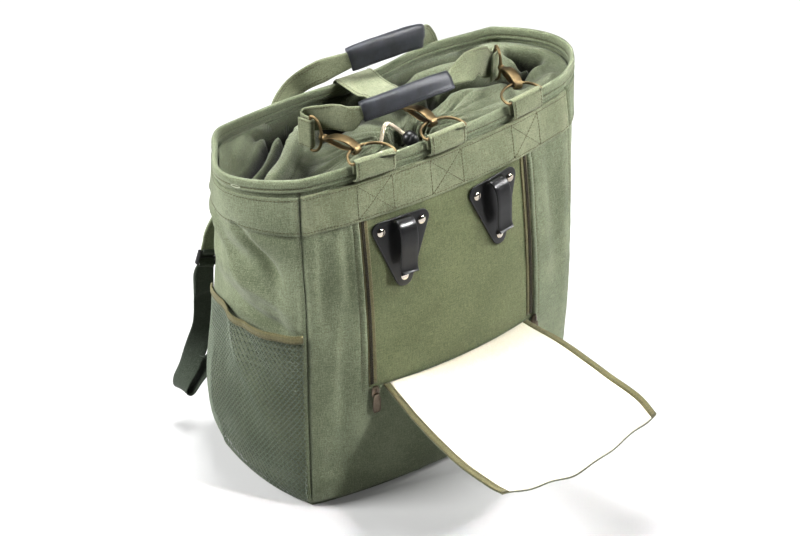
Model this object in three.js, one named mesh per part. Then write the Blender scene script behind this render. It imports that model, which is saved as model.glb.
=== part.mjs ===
// Canvas pannier backpack with a folded-down front flap, two rack hooks and a gathered top
// Millimetres, +Z up; the bag stands on z = 0, its hook side faces -Y and its strap side +Y

import * as THREE from 'three';

// Cloth and clearance
const GAP = 0.35;
const CANVAS = 2;
const WEBBING = 1.8;
const MESH_CLOTH = 1.4;
const COLLAR_CLOTH = 1.4;

// Heights up the body
const BASE_THICK = 2.5;
const FOOT = BASE_THICK + GAP;
const HINGE_Z = 146;
const BAND_LOW = 341;
const WINDOW_TOP = BAND_LOW;
const BAND_TOP = 383;
const WALL_TOP = 386.6;
const RIM_LOW = 387;
const RIM_TOP = 400;

// Window between the zips, as shares of the front panel's width; it leans left as it rises
const ZIP_LEFT = 0.182;
const ZIP_RIGHT = 0.8;
const ZIP_WIDE = 0.026;
const FRONT_LEAN = 0.016;

// Seam corners by height: the back ones flare past the front ones, and skew twists the mouth
const CORNERS = [
  { z: 0, shift: -2, half: 165, front: -73, back: 104, flare: 2, skew: 0 },
  { z: 12, shift: -1, half: 171, front: -80, back: 111, flare: 4, skew: 0 },
  { z: 60, shift: 2, half: 176, front: -83, back: 112, flare: 4, skew: 0 },
  { z: 150, shift: 4.5, half: 177.5, front: -82, back: 105, flare: 2, skew: 0 },
  { z: 240, shift: 6, half: 176, front: -79, back: 93, flare: 2, skew: 2 },
  { z: 340, shift: 6.5, half: 174.5, front: -70, back: 79, flare: 5, skew: 5 },
  { z: 384, shift: 7.5, half: 172.5, front: -63, back: 74, flare: 8, skew: 7 },
  { z: 400, shift: 8, half: 171, front: -60, back: 73, flare: 9, skew: 8 },
];

// How far the front, back and gussets swell out between their seams, and how deep the seams dip
const SWELLS = [
  { z: 0, fore: 20, rear: 8, sides: 12, dip: 1 },
  { z: 12, fore: 26, rear: 10, sides: 17, dip: 2 },
  { z: 60, fore: 29, rear: 12, sides: 22, dip: 3.5 },
  { z: 150, fore: 28, rear: 13, sides: 22, dip: 4 },
  { z: 240, fore: 24, rear: 12, sides: 26, dip: 4 },
  { z: 340, fore: 20, rear: 10, sides: 38, dip: 3 },
  { z: 384, fore: 17, rear: 8, sides: 45, dip: 2 },
  { z: 400, fore: 17, rear: 7, sides: 48, dip: 1 },
];

// The four sides in turn, each running from one seam to the next, anticlockwise from above
const FRONT = 0;
const RIGHT = 1;
const BACK = 2;
const LEFT = 3;
const SWELL = ['fore', 'sides', 'rear', 'sides'];
const SEAM_REACH = 9;
const MITRE_REACH = 4;
const DENT_CLEAR = 18;

// Dents and folds pressed into the sides: place, spread both ways, depth inward
const DENTS = [
  { side: LEFT, u: 0.5, z: 302, wide: 60, tall: 15, depth: 6 },
  { side: LEFT, u: 0.45, z: 268, wide: 55, tall: 14, depth: -4 },
  { side: LEFT, u: 0.3, z: 236, wide: 40, tall: 13, depth: 5 },
  { side: LEFT, u: 0.82, z: 262, wide: 10, tall: 50, depth: 3 },
  { side: RIGHT, u: 0.5, z: 296, wide: 60, tall: 16, depth: 6 },
  { side: RIGHT, u: 0.4, z: 200, wide: 45, tall: 20, depth: 5 },
  { side: FRONT, u: 0.07, z: 285, wide: 9, tall: 60, depth: 3 },
  { side: FRONT, u: 0.105, z: 165, wide: 9, tall: 70, depth: 2.5 },
  { side: FRONT, u: 0.1, z: 70, wide: 26, tall: 34, depth: 4 },
  { side: FRONT, u: 0.92, z: 240, wide: 10, tall: 70, depth: 3 },
  { side: BACK, u: 0.5, z: 150, wide: 90, tall: 60, depth: 5 },
  { side: BACK, u: 0.5, z: 405, wide: 60, tall: 40, depth: 9 },
  { side: BACK, u: 0.24, z: 405, wide: 44, tall: 40, depth: -6 },
  { side: LEFT, u: 0.2, z: 405, wide: 32, tall: 50, depth: 10 },
];

// Smooth value of one column of a table at a place between its rows
function column(rows, key, name, at) {
  const last = rows.length - 1;
  if (at <= rows[0][key]) return rows[0][name];
  if (at >= rows[last][key]) return rows[last][name];
  let i = 0;
  while (rows[i + 1][key] < at) i += 1;
  const slope = (k) => {
    const a = rows[Math.max(k - 1, 0)];
    const b = rows[Math.min(k + 1, last)];
    return (b[name] - a[name]) / (b[key] - a[key]);
  };
  const span = rows[i + 1][key] - rows[i][key];
  const t = (at - rows[i][key]) / span;
  const keep = (1 + 2 * t) * (1 - t) * (1 - t);
  const rise = t * (1 - t) * (1 - t) * span;
  const next = t * t * (3 - 2 * t);
  const fall = t * t * (t - 1) * span;
  return keep * rows[i][name] + rise * slope(i) + next * rows[i + 1][name] + fall * slope(i + 1);
}

function sectionAt(z) {
  const at = {};
  for (const rows of [CORNERS, SWELLS]) {
    for (const name of Object.keys(rows[0])) at[name] = column(rows, 'z', name, z);
  }
  return at;
}

const outward = (d) => new THREE.Vector2(d.y, -d.x).normalize();

function corner(s, k) {
  const way = k === 1 || k === 2 ? 1 : -1;
  const wide = k < 2 ? s.half : s.half + s.flare;
  return new THREE.Vector2(s.shift + way * wide, (k < 2 ? s.front : s.back) + way * s.skew);
}

// Direction in which the seam corner k is offset so that both of its sides stay parallel to themselves
function mitre(s, k) {
  const edge = (side, start) => {
    const d = corner(s, (side + 1) % 4).sub(corner(s, side));
    const lean = outward(d).multiplyScalar(4 * s[SWELL[side]] * (start ? 1 : -1));
    return outward(d.add(lean));
  };
  const a = edge(k, true);
  const b = edge((k + 3) % 4, false);
  return a.clone().add(b).divideScalar(1 + a.dot(b));
}

// Point on a side's outer face, before any offset
function facePoint(side, u, z) {
  const s = sectionAt(z);
  const a = corner(s, side);
  const d = corner(s, (side + 1) % 4).sub(a);
  const wide = d.length();
  const n = outward(d);
  const reach = Math.min(u, 1 - u) * wide;
  let out = s[SWELL[side]] * 4 * u * (1 - u);
  for (const dent of DENTS) {
    if (dent.side !== side) continue;
    const across = ((u - dent.u) * wide) / dent.wide;
    const along = (z - dent.z) / dent.tall;
    const clear = 1 - Math.exp(-((reach / DENT_CLEAR) ** 2));
    out -= dent.depth * clear * Math.exp(-across * across - along * along);
  }
  const p = a.addScaledVector(d, u).addScaledVector(n, out);
  const sink = s.dip * Math.exp(-((reach / SEAM_REACH) ** 2));
  return p.addScaledVector(mitre(s, u < 0.5 ? side : (side + 1) % 4), -sink);
}

// Point at a chosen offset outward from a side's face
function bodyPoint(side, u, z, off) {
  const step = 0.004;
  const p = facePoint(side, u, z);
  const before = facePoint(side, Math.max(u - step, 0), z);
  const own = outward(facePoint(side, Math.min(u + step, 1), z).sub(before));
  const s = sectionAt(z);
  const wide = corner(s, side).distanceTo(corner(s, (side + 1) % 4));
  const share = Math.exp(-(((Math.min(u, 1 - u) * wide) / MITRE_REACH) ** 2));
  const n = own.multiplyScalar(1 - share).addScaledVector(mitre(s, u < 0.5 ? side : (side + 1) % 4), share);
  return new THREE.Vector3(p.x + n.x * off, p.y + n.y * off, z);
}

// Point on the ring round all four sides: whole part of t is the side, the rest the share along it
function ringPoint(t, z, off) {
  const turn = ((t % 4) + 4) % 4;
  const side = Math.floor(turn);
  return bodyPoint(side, turn - side, z, off);
}

// Share along a level front or back panel at a given x
function shareAt(side, x, z) {
  const s = sectionAt(z);
  const half = side === FRONT ? s.half : s.half + s.flare;
  const u = (x - s.shift + half) / (2 * half);
  return side === FRONT ? u : 1 - u;
}

// Point of the front, whose cloth leans left between the hinge and the band
function frontPoint(u, z, off) {
  const rise = Math.min(Math.max((z - HINGE_Z) / (WINDOW_TOP - HINGE_Z), 0), 1);
  return bodyPoint(FRONT, u - FRONT_LEAN * rise * 4 * u * (1 - u), z, off);
}

const spread = (a, b, steps) => Array.from({ length: steps + 1 }, (_, i) => a + ((b - a) * i) / steps);
const around = (sides) => spread(0, 2 * Math.PI, sides).slice(0, sides);
const V = (x, y, z) => new THREE.Vector3(x, y, z);

// Closed solid from a list of triangles, turned to face outward
function solid(triangles) {
  let volume = 0;
  for (const [a, b, c] of triangles) volume += a.dot(b.clone().cross(c));
  const positions = [];
  for (const [a, b, c] of triangles) {
    for (const p of volume < 0 ? [a, c, b] : [a, b, c]) positions.push(p.x, p.y, p.z);
  }
  const geometry = new THREE.BufferGeometry();
  geometry.setAttribute('position', new THREE.Float32BufferAttribute(positions, 3));
  geometry.computeVertexNormals();
  return geometry;
}

// Cloth between two faces: at(u, v, face) is a point, face 0 outside and 1 inside; keep(i, j) picks the cells
function sheet(us, vs, at, { closed = false, keep = () => true } = {}) {
  const points = [0, 1].map((face) => vs.map((v) => us.map((u) => at(u, v, face))));
  const across = closed ? us.length : us.length - 1;
  const kept = (i, j) => {
    const wrapped = closed ? (i + across) % across : i;
    return wrapped >= 0 && wrapped < across && j >= 0 && j < vs.length - 1 && keep(wrapped, j);
  };
  const triangles = [];
  const quad = (a, b, c, d) => triangles.push([a, b, c], [a, c, d]);
  for (let j = 0; j < vs.length - 1; j += 1) {
    for (let i = 0; i < across; i += 1) {
      if (!kept(i, j)) continue;
      const n = (i + 1) % us.length;
      const ring = [[j, i], [j, n], [j + 1, n], [j + 1, i]];
      const [a, b, c, d] = ring.map(([r, k]) => points[0][r][k]);
      const [e, f, g, h] = ring.map(([r, k]) => points[1][r][k]);
      quad(a, b, c, d);
      quad(e, h, g, f);
      if (!kept(i, j - 1)) quad(b, a, e, f);
      if (!kept(i + 1, j)) quad(c, b, f, g);
      if (!kept(i, j + 1)) quad(d, c, g, h);
      if (!kept(i - 1, j)) quad(a, d, h, e);
    }
  }
  return solid(triangles);
}

// Solid through a row of like outlines, joined end to end or capped
function loft(rings, closed = false) {
  const triangles = [];
  const count = rings[0].length;
  const last = closed ? rings.length : rings.length - 1;
  for (let r = 0; r < last; r += 1) {
    const a = rings[r];
    const b = rings[(r + 1) % rings.length];
    for (let i = 0; i < count; i += 1) {
      const n = (i + 1) % count;
      triangles.push([a[i], a[n], b[n]], [a[i], b[n], b[i]]);
    }
  }
  if (!closed) {
    for (const [ring, flip] of [[rings[0], true], [rings[rings.length - 1], false]]) {
      const middle = ring.reduce((sum, p) => sum.add(p), V(0, 0, 0)).divideScalar(count);
      for (let i = 0; i < count; i += 1) {
        const n = (i + 1) % count;
        triangles.push(flip ? [middle, ring[n], ring[i]] : [middle, ring[i], ring[n]]);
      }
    }
  }
  return solid(triangles);
}

// Frames along a route: point, direction, side squared up to the direction, and face normal
function frames(stations) {
  return stations.map((s, i) => {
    const before = stations[Math.max(i - 1, 0)].at;
    const after = stations[Math.min(i + 1, stations.length - 1)].at;
    const along = after.clone().sub(before).normalize();
    const side = s.side.clone().addScaledVector(along, -s.side.dot(along)).normalize();
    return { ...s, along, side, face: along.clone().cross(side) };
  });
}

// Stations on a smooth curve through table rows; every column is eased together
function route(rows, stepsPerRow) {
  const curveOf = (pick) => new THREE.CatmullRomCurve3(rows.map(pick), false, 'centripetal');
  const place = new THREE.CatmullRomCurve3(rows.map((r) => V(r.x, r.y, r.z)), false, 'catmullrom', 0.5);
  const side = curveOf((r, i) => V(r.sx + i * 1e-6, r.sy, r.sz));
  const total = (rows.length - 1) * stepsPerRow;
  return spread(0, 1, total).map((t) => {
    const i = Math.min(Math.floor(t * (rows.length - 1)), rows.length - 2);
    const part = t * (rows.length - 1) - i;
    const ease = (name) => rows[i][name] + (rows[i + 1][name] - rows[i][name]) * part;
    return { at: place.getPoint(t), side: side.getPoint(t), half: ease('half'), thick: ease('thick') };
  });
}

// Flat strap along stations
function strap(stations) {
  return loft(frames(stations).map(({ at, side, face, half, thick }) => {
    const corners = [[-1, -1], [1, -1], [1, 1], [-1, 1]];
    return corners.map(([a, b]) => (
      at.clone().addScaledVector(side, a * half).addScaledVector(face, (b * thick) / 2)));
  }));
}

// Leather sleeve with rounded corners round the framed steps of a strap
function sleeve(steps, sides, thickness) {
  const angles = around(sides);
  const round = (value) => Math.sign(value) * Math.sqrt(Math.abs(value));
  const at = (angle, v, face) => {
    const f = steps[v];
    const grow = face === 0 ? GAP + thickness : GAP;
    const a = (1.2 * f.half + grow) * round(Math.cos(angle));
    const b = (0.6 * f.thick + grow) * round(Math.sin(angle));
    return f.at.clone().addScaledVector(f.side, a).addScaledVector(f.face, b);
  };
  return sheet(angles, steps.map((_, i) => i), at, { closed: true });
}

// Round wire along a closed flat loop; radius may change along it
function wireLoop(points, normal, radius, sides) {
  const count = points.length;
  return loft(points.map((p, i) => {
    const along = points[(i + 1) % count].clone().sub(points[(i + count - 1) % count]).normalize();
    const wide = along.clone().cross(normal).normalize();
    const r = typeof radius === 'function' ? radius(i / count) : radius;
    return around(sides).map((angle) => (
      p.clone().addScaledVector(wide, r * Math.cos(angle)).addScaledVector(normal, r * Math.sin(angle))));
  }), true);
}

// Round cord along an open route
function cord(points, radius, sides) {
  let wide = V(0, 0, 1);
  return loft(points.map((p, i) => {
    const next = points[Math.min(i + 1, points.length - 1)];
    const along = next.clone().sub(points[Math.max(i - 1, 0)]).normalize();
    wide = wide.clone().addScaledVector(along, -wide.dot(along)).normalize();
    const other = along.clone().cross(wide);
    return around(sides).map((angle) => {
      const rim = p.clone().addScaledVector(wide, radius * Math.cos(angle));
      return rim.addScaledVector(other, radius * Math.sin(angle));
    });
  }));
}

// Body of revolution about an axis: rows of distance along it and radius
function turned(origin, axis, rows, sides) {
  const wide = Math.abs(axis.z) > 0.9 ? V(1, 0, 0) : V(0, 0, 1).cross(axis).normalize();
  const other = axis.clone().cross(wide);
  return loft(rows.map(({ along, radius }) => around(sides).map((angle) => (
    origin.clone().addScaledVector(axis, along)
      .addScaledVector(wide, radius * Math.cos(angle))
      .addScaledVector(other, radius * Math.sin(angle))))));
}

const COLOURS = {
  canvas: 0x6a7350,
  hookCloth: 0x6e7346,
  webbing: 0x7d8060,
  mesh: 0x3a4034,
  binding: 0x5a5436,
  lining: 0xf1ecdc,
  leather: 0x18181a,
  plate: 0x131314,
  nickel: 0xc9c3b8,
  brass: 0x8c6c3c,
  zip: 0x33291e,
  darkWeb: 0x2c3128,
  cord: 0xe6d8c2,
};

const bag = new THREE.Group();
bag.name = 'pannier_backpack';

function add(name, colour, geometry, metal = 0) {
  const finish = { color: COLOURS[colour], metalness: metal, roughness: metal > 0 ? 0.4 : 0.85 };
  const material = new THREE.MeshStandardMaterial(finish);
  material.name = colour;
  const mesh = new THREE.Mesh(geometry, material);
  mesh.name = name;
  bag.add(mesh);
}

// Body panels
const SEAM = 0.0007;
const WINDOW_ROWS = [HINGE_Z, 190, 236, 268, 302, WINDOW_TOP];
const WALL_ROWS = [FOOT, 7, 14, 30, 60, 100, ...WINDOW_ROWS, 362, BAND_TOP, WALL_TOP];
const wall = (side) => (u, z, face) => bodyPoint(side, u, z, face === 0 ? 0 : -CANVAS);
const WINDOW_COLUMNS = [ZIP_LEFT, 0.3, 0.4, 0.5, 0.6, 0.7, ZIP_RIGHT];
const FRONT_COLUMNS = [SEAM, 0.02, 0.05, 0.09, 0.145, ...WINDOW_COLUMNS, 0.87, 0.91, 0.95, 0.98, 1 - SEAM];
const SIDE_COLUMNS = [2 * SEAM, 0.02, 0.06, 0.15, 0.28, 0.42, 0.58, 0.72, 0.85, 0.94, 0.98, 1 - 2 * SEAM];
const BACK_COLUMNS = [SEAM, 0.03, 0.08, 0.2, 0.35, 0.5, 0.65, 0.8, 0.92, 0.97, 1 - SEAM];
const inWindow = (i, j) => {
  const u = FRONT_COLUMNS[i];
  const z = WALL_ROWS[j];
  return u >= ZIP_LEFT && u < ZIP_RIGHT && z >= HINGE_Z && z < WINDOW_TOP;
};
const frontWall = (u, z, face) => frontPoint(u, z, face === 0 ? 0 : -CANVAS);
const outsideWindow = { keep: (i, j) => !inWindow(i, j) };
add('front_panel', 'canvas', sheet(FRONT_COLUMNS, WALL_ROWS, frontWall, outsideWindow));
add('right_gusset', 'canvas', sheet(SIDE_COLUMNS, WALL_ROWS, wall(RIGHT)));
add('back_panel', 'canvas', sheet(BACK_COLUMNS, WALL_ROWS, wall(BACK)));
add('left_gusset', 'canvas', sheet(SIDE_COLUMNS, WALL_ROWS, wall(LEFT)));

const baseRing = spread(0, 4, 40).slice(0, 40).map((t) => ringPoint(t, FOOT, -0.5));
add('base_panel', 'canvas', loft([0, BASE_THICK].map((z) => baseRing.map((p) => V(p.x, p.y, z)))));

// Hook panel behind the window
const HOOK_OUT = -CANVAS - GAP - 0.15;
const HOOK_LAP = 0.012;
add('hook_panel', 'hookCloth', sheet(
  [ZIP_LEFT - HOOK_LAP, ...WINDOW_COLUMNS, ZIP_RIGHT + HOOK_LAP],
  [HINGE_Z - 5, ...WINDOW_ROWS, WINDOW_TOP + 10],
  (u, z, face) => frontPoint(u, z, face === 0 ? HOOK_OUT : HOOK_OUT - CANVAS),
));

// Zips on the window's two edges: tape with a raised row of teeth
const ZIP_PROFILE = [
  { share: 0, off: HOOK_OUT + GAP },
  { share: 1, off: HOOK_OUT + GAP },
  { share: 1, off: HOOK_OUT + GAP + 0.9 },
  { share: 0.66, off: HOOK_OUT + GAP + 0.9 },
  { share: 0.6, off: HOOK_OUT + GAP + 2.5 },
  { share: 0.2, off: HOOK_OUT + GAP + 2.5 },
  { share: 0.14, off: HOOK_OUT + GAP + 0.9 },
  { share: 0, off: HOOK_OUT + GAP + 0.9 },
];
const ZIP_GAP = 0.0012;
for (const [name, edge, way] of [['zip_left', ZIP_LEFT, 1], ['zip_right', ZIP_RIGHT, -1]]) {
  const heights = [HINGE_Z + 4, ...WINDOW_ROWS.slice(1, -1), WINDOW_TOP - GAP];
  const rings = heights.map((z) => ZIP_PROFILE.map(({ share, off }) => (
    frontPoint(edge + way * (ZIP_GAP + share * ZIP_WIDE), z, off))));
  add(name, 'zip', loft(rings));
}

// Rolled rim
const RIM_PROFILE = [
  { off: -3.6, z: RIM_LOW },
  { off: 1.6, z: RIM_LOW },
  { off: 1.9, z: RIM_TOP - 4 },
  { off: 0.2, z: RIM_TOP },
  { off: -2.2, z: RIM_TOP },
  { off: -3.9, z: RIM_TOP - 4 },
];
const RIM_STEPS = 44;
add('rim_hem', 'canvas', loft(spread(0, 4, RIM_STEPS).slice(0, RIM_STEPS).map((t) => (
  RIM_PROFILE.map(({ off, z }) => ringPoint(t, z, off)))), true));

// Band sewn round below the rim: one length on the front, one round the sides and back
const BAND_ROWS = [BAND_LOW, 362, BAND_TOP];
const bandFace = (face) => (face === 0 ? GAP + WEBBING : GAP);
const inner = (columns) => columns.slice(1, -1);
const BAND_END = 0.0012;
const BAND_COLUMNS = [BAND_END, ...inner(FRONT_COLUMNS), 1 - BAND_END];
const frontBand = (u, z, face) => frontPoint(u, z, bandFace(face));
add('front_band', 'webbing', sheet(BAND_COLUMNS, BAND_ROWS, frontBand));
const ROUND_BACK = [
  RIGHT + 2 * BAND_END, ...inner(SIDE_COLUMNS).map((u) => RIGHT + u),
  BACK, ...inner(BACK_COLUMNS).map((u) => BACK + u),
  LEFT, ...inner(SIDE_COLUMNS).map((u) => LEFT + u), LEFT + 1 - 2 * BAND_END,
];
add('back_band', 'canvas', sheet(ROUND_BACK, BAND_ROWS, (t, z, face) => ringPoint(t, z, bandFace(face))));

// Webbing loops above the front band, each folded over the bar of a D-ring
const LOOP_X = { left: -88, mid: -3, right: 106 };
const LOOP_HALF = 22;
const WIRE = 1.5;
const BAR_OFF = 6.3;
const BAR_Z = 405;
const WRAP = WIRE + 0.45 + WEBBING / 2;
const loopProfile = [
  { off: 1.5, z: BAND_TOP + 1.9 },
  { off: 2, z: BAND_TOP + 2.9 },
  { off: 4.6, z: 387.4 },
  { off: 7.4, z: 391.4 },
  { off: 8.9, z: 397.5 },
];
for (const step of spread(0, Math.PI, 8)) {
  loopProfile.push({ off: BAR_OFF + WRAP * Math.cos(step), z: BAR_Z + WRAP * Math.sin(step) });
}
loopProfile.push({ off: BAR_OFF - WRAP, z: 399 }, { off: BAR_OFF - WRAP, z: 391 });
function rimHeading(u) {
  const reach = 0.03;
  return bodyPoint(FRONT, u + reach, RIM_TOP, 0).sub(bodyPoint(FRONT, u - reach, RIM_TOP, 0)).normalize();
}
for (const [name, x] of Object.entries(LOOP_X)) {
  const u = shareAt(FRONT, x, RIM_TOP);
  const stations = loopProfile.map(({ off, z }) => {
    const at = bodyPoint(FRONT, u, Math.min(z, RIM_TOP), off);
    at.z = z;
    return { at, side: rimHeading(u), half: LOOP_HALF, thick: WEBBING };
  });
  add(`loop_${name}`, 'webbing', strap(stations));
}

// D-rings: bar in the loop's fold, bow reaching in over the rim
const RING_HALF = 25;
const RING_REACH = 22;
const RING_TILT = 0.17;
const BOW_ROUND = 0.8;
function ringFrame(name) {
  const u = shareAt(FRONT, LOOP_X[name], RIM_TOP);
  const bar = bodyPoint(FRONT, u, RIM_TOP, BAR_OFF);
  bar.z = BAR_Z;
  const across = rimHeading(u);
  const level = V(-across.y, across.x, 0);
  const inward = level.multiplyScalar(Math.cos(RING_TILT)).add(V(0, 0, Math.sin(RING_TILT)));
  return { bar, across, inward };
}
function bowPoints(centre, across, inward, half, reach, barSteps, bowSteps) {
  const bar = spread(-half, half, barSteps).slice(1, barSteps);
  const points = bar.map((along) => centre.clone().addScaledVector(across, along));
  for (const angle of spread(0, Math.PI, bowSteps)) {
    points.push(centre.clone().addScaledVector(across, half * Math.cos(angle))
      .addScaledVector(inward, reach * Math.max(Math.sin(angle), 0) ** BOW_ROUND));
  }
  return points;
}
for (const name of Object.keys(LOOP_X)) {
  const { bar, across, inward } = ringFrame(name);
  const points = bowPoints(bar, across, inward, RING_HALF, RING_REACH, 3, 14);
  add(`d_ring_${name}`, 'brass', wireLoop(points, across.clone().cross(inward), WIRE, 6), 1);
}

// Snap hooks: a flat hook over the D-ring's bow, a sprung gate under it, and a swivelling bail for the strap
const SNAP_AIM = {
  left: { x: -0.32, y: 0.947, upright: true },
  mid: { x: -0.1, y: 0.995, upright: false },
  right: { x: 0.25, y: 0.968, upright: true },
};
const SWIVEL_AT = 39;
const BAIL_REACH = 13;
const BAIL_HALF = 19;
const BOSS_AT = 8 / 15;
const HOOK_ROWS = [
  { along: 35, up: 0, half: 3.6, thick: 6.4 },
  { along: 31.5, up: 0.6, half: 4.4, thick: 6 },
  { along: 29, up: 2.6, half: 5.4, thick: 3.2 },
  { along: 24, up: 5.2, half: 5.8, thick: 2.2 },
  { along: 15, up: 6.6, half: 5.8, thick: 2.2 },
  { along: 6, up: 6, half: 5.6, thick: 2.2 },
  { along: 0.4, up: 4, half: 5.2, thick: 2.2 },
  { along: -3.4, up: 2.2, half: 4.6, thick: 2.2 },
  { along: -5, up: -1, half: 4.4, thick: 2.2 },
  { along: -3.2, up: -4, half: 4.4, thick: 2.2 },
  { along: 0.4, up: -4.8, half: 4.2, thick: 2 },
];
const GATE_ROWS = [
  { along: 29.1, up: -1.9, half: 3.4, thick: 1.6 },
  { along: 22, up: -2.6, half: 3.6, thick: 1.4 },
  { along: 12, up: -3.6, half: 3.6, thick: 1.4 },
  { along: 3.4, up: -2.1, half: 3.4, thick: 1.4 },
];
function snapFrame(name) {
  const { bar, across, inward } = ringFrame(name);
  const aim = SNAP_AIM[name];
  const along = V(aim.x, aim.y, 0).normalize();
  const wide = V(along.y, -along.x, 0);
  const swing = along.dot(across);
  const crown = bar.clone().addScaledVector(across, RING_HALF * swing)
    .addScaledVector(inward, RING_REACH * (1 - swing * swing) ** (BOW_ROUND / 2));
  const swivel = crown.clone().addScaledVector(along, SWIVEL_AT);
  return { crown, along, wide, swivel, upright: aim.upright };
}
function snapStrip(name, rows) {
  const { crown, along, wide } = snapFrame(name);
  return strap(rows.map((r) => ({
    at: crown.clone().addScaledVector(along, r.along).add(V(0, 0, r.up)),
    side: wide,
    half: r.half,
    thick: r.thick,
  })));
}
for (const name of Object.keys(LOOP_X)) {
  const { along, wide, swivel, upright } = snapFrame(name);
  const across = upright ? V(0, 0, 1) : wide;
  const centre = swivel.clone().addScaledVector(along, BAIL_REACH);
  const toSwivel = along.clone().negate();
  const points = bowPoints(centre, across, toSwivel, BAIL_HALF, BAIL_REACH, 3, 12);
  const boss = (share) => WIRE + 1.6 * Math.exp(-(((share - BOSS_AT) / 0.07) ** 2));
  add(`snap_${name}_bail`, 'brass', wireLoop(points, across.clone().cross(toSwivel), boss, 6), 1);
  add(`snap_${name}_hook`, 'brass', snapStrip(name, HOOK_ROWS), 1);
  add(`snap_${name}_gate`, 'brass', snapStrip(name, GATE_ROWS), 1);
}

// Where a bail's bar lies, and the heading away from its hook
function bailBar(name) {
  const { along, wide, swivel } = snapFrame(name);
  return { bar: swivel.clone().addScaledVector(along, BAIL_REACH), away: along, wide };
}
const TURN = WIRE + 0.5 + WEBBING / 2;
const STRAP_HALF = 15.5;

// Front carrying handle: folded on the left and right bails, rolled small inside the leather grip
const rowAt = (p, sx, sy, sz, half, thick) => ({ x: p.x, y: p.y, z: p.z, sx, sy, sz, half, thick });
const upright = (p, lean = 0) => rowAt(p, 0, -lean, 1, STRAP_HALF, WEBBING);
const leftBail = bailBar('left');
const inLeft = (e, q, up) => leftBail.bar.clone().addScaledVector(leftBail.away, e)
  .addScaledVector(leftBail.wide, q).add(V(0, 0, up));
const frontRows = [upright(inLeft(12.5, -TURN, 0))];
frontRows.push(upright(inLeft(6, -TURN, 0)));
for (const angle of spread(-Math.PI / 2, -1.5 * Math.PI, 6)) {
  frontRows.push(upright(inLeft(TURN * Math.cos(angle), TURN * Math.sin(angle), 0)));
}
const LEFT_BEND = [
  { e: 7, q: 3.1, up: 0, lean: 0 },
  { e: 12, q: 3.6, up: 0.5, lean: 0 },
  { e: 16.5, q: 7, up: 1.5, lean: 0.05 },
  { e: 16.5, q: 13, up: 3, lean: 0.15 },
  { e: 9, q: 17, up: 5.5, lean: 0.3 },
  { e: -9, q: 20, up: 11, lean: 0.32 },
  { e: -29, q: 21, up: 16.5, lean: 0.1 },
];
for (const { e, q, up, lean } of LEFT_BEND) frontRows.push(upright(inLeft(e, q, up), lean));
const GRIP_CORE = { half: 6.6, thick: 4.6 };
const FRONT_GRIP = [
  { x: -72, y: -41, z: 431, sx: 0, sy: 0.2, sz: 1 },
  { x: -44, y: -43, z: 432.5, sx: 0, sy: 0.35, sz: 0.94 },
  { x: -16, y: -42, z: 433, sx: 0, sy: 0.5, sz: 0.87 },
  { x: 12, y: -40, z: 432, sx: 0, sy: 0.6, sz: 0.8 },
  { x: 38, y: -37, z: 430, sx: 0, sy: 0.7, sz: 0.7 },
];
const frontGripAt = frontRows.length;
for (const row of FRONT_GRIP) frontRows.push({ ...row, ...GRIP_CORE });
const rightBail = bailBar('right');
const RIGHT_ARCH = [
  { x: 66, y: -32, z: 434, sx: 0, sy: 0.5, sz: 0.86 },
  { x: 90, y: -23, z: 430, sx: 0, sy: 0.25, sz: 0.96 },
];
for (const row of RIGHT_ARCH) frontRows.push({ ...row, half: STRAP_HALF, thick: WEBBING });
const fromGrip = V(90, -23, 0).sub(V(rightBail.bar.x, rightBail.bar.y, 0)).normalize();
const acrossGrip = V(fromGrip.y, -fromGrip.x, 0);
const nearRight = (g, h, up) => rightBail.bar.clone().addScaledVector(fromGrip, g)
  .addScaledVector(acrossGrip, h).add(V(0, 0, up));
frontRows.push(upright(nearRight(24, TURN, 8)));
frontRows.push(upright(nearRight(10, TURN, 1.5)));
for (const angle of spread(Math.PI / 2, 1.5 * Math.PI, 6)) {
  frontRows.push(upright(nearRight(TURN * Math.cos(angle), TURN * Math.sin(angle), 0)));
}
frontRows.push(upright(nearRight(9, -TURN, 0)));
frontRows.push(upright(nearRight(18, -TURN, 1)));
const frontRoute = route(frontRows, 2);
add('front_handle_strap', 'webbing', strap(frontRoute));
const gripSteps = (steps, first, rows) => frames(steps).slice(2 * first, 2 * (first + rows.length - 1) + 1);
const GRIP_WALL = 2.2;
add('front_handle_grip', 'leather', sleeve(gripSteps(frontRoute, frontGripAt, FRONT_GRIP), 8, GRIP_WALL));

// Rear carrying handle: sewn over the back band, leaning in over the mouth
const BACK_STRAP_OFF = GAP + WEBBING + GAP + WEBBING / 2;
const REAR_HALF = 14;
const REAR_CORE = { half: 8.6, thick: 5 };
const onBack = (x, z, off) => bodyPoint(BACK, shareAt(BACK, x, z), z, off);
function backSide(x, z, sx, sz) {
  const level = onBack(x + 5, z, 0).sub(onBack(x - 5, z, 0)).normalize();
  const rise = onBack(x, z + 5, 0).sub(onBack(x, z - 5, 0)).normalize();
  return level.multiplyScalar(sx).addScaledVector(rise, sz);
}
const REAR_LEFT = [
  { x: -98, z: 347, out: 0 },
  { x: -97, z: 366, out: 0 },
  { x: -94, z: 384, out: 0.6 },
  { x: -86, z: 398, out: 3.6 },
];
const REAR_RISE = [
  { x: -64, y: 84, z: 410, sx: -0.52, sy: 0.5, sz: 0.69, half: REAR_HALF - 1 },
  { x: -37, y: 78, z: 415.5, sx: -0.4, sy: 0.6, sz: 0.7, half: REAR_HALF - 2 },
];
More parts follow.
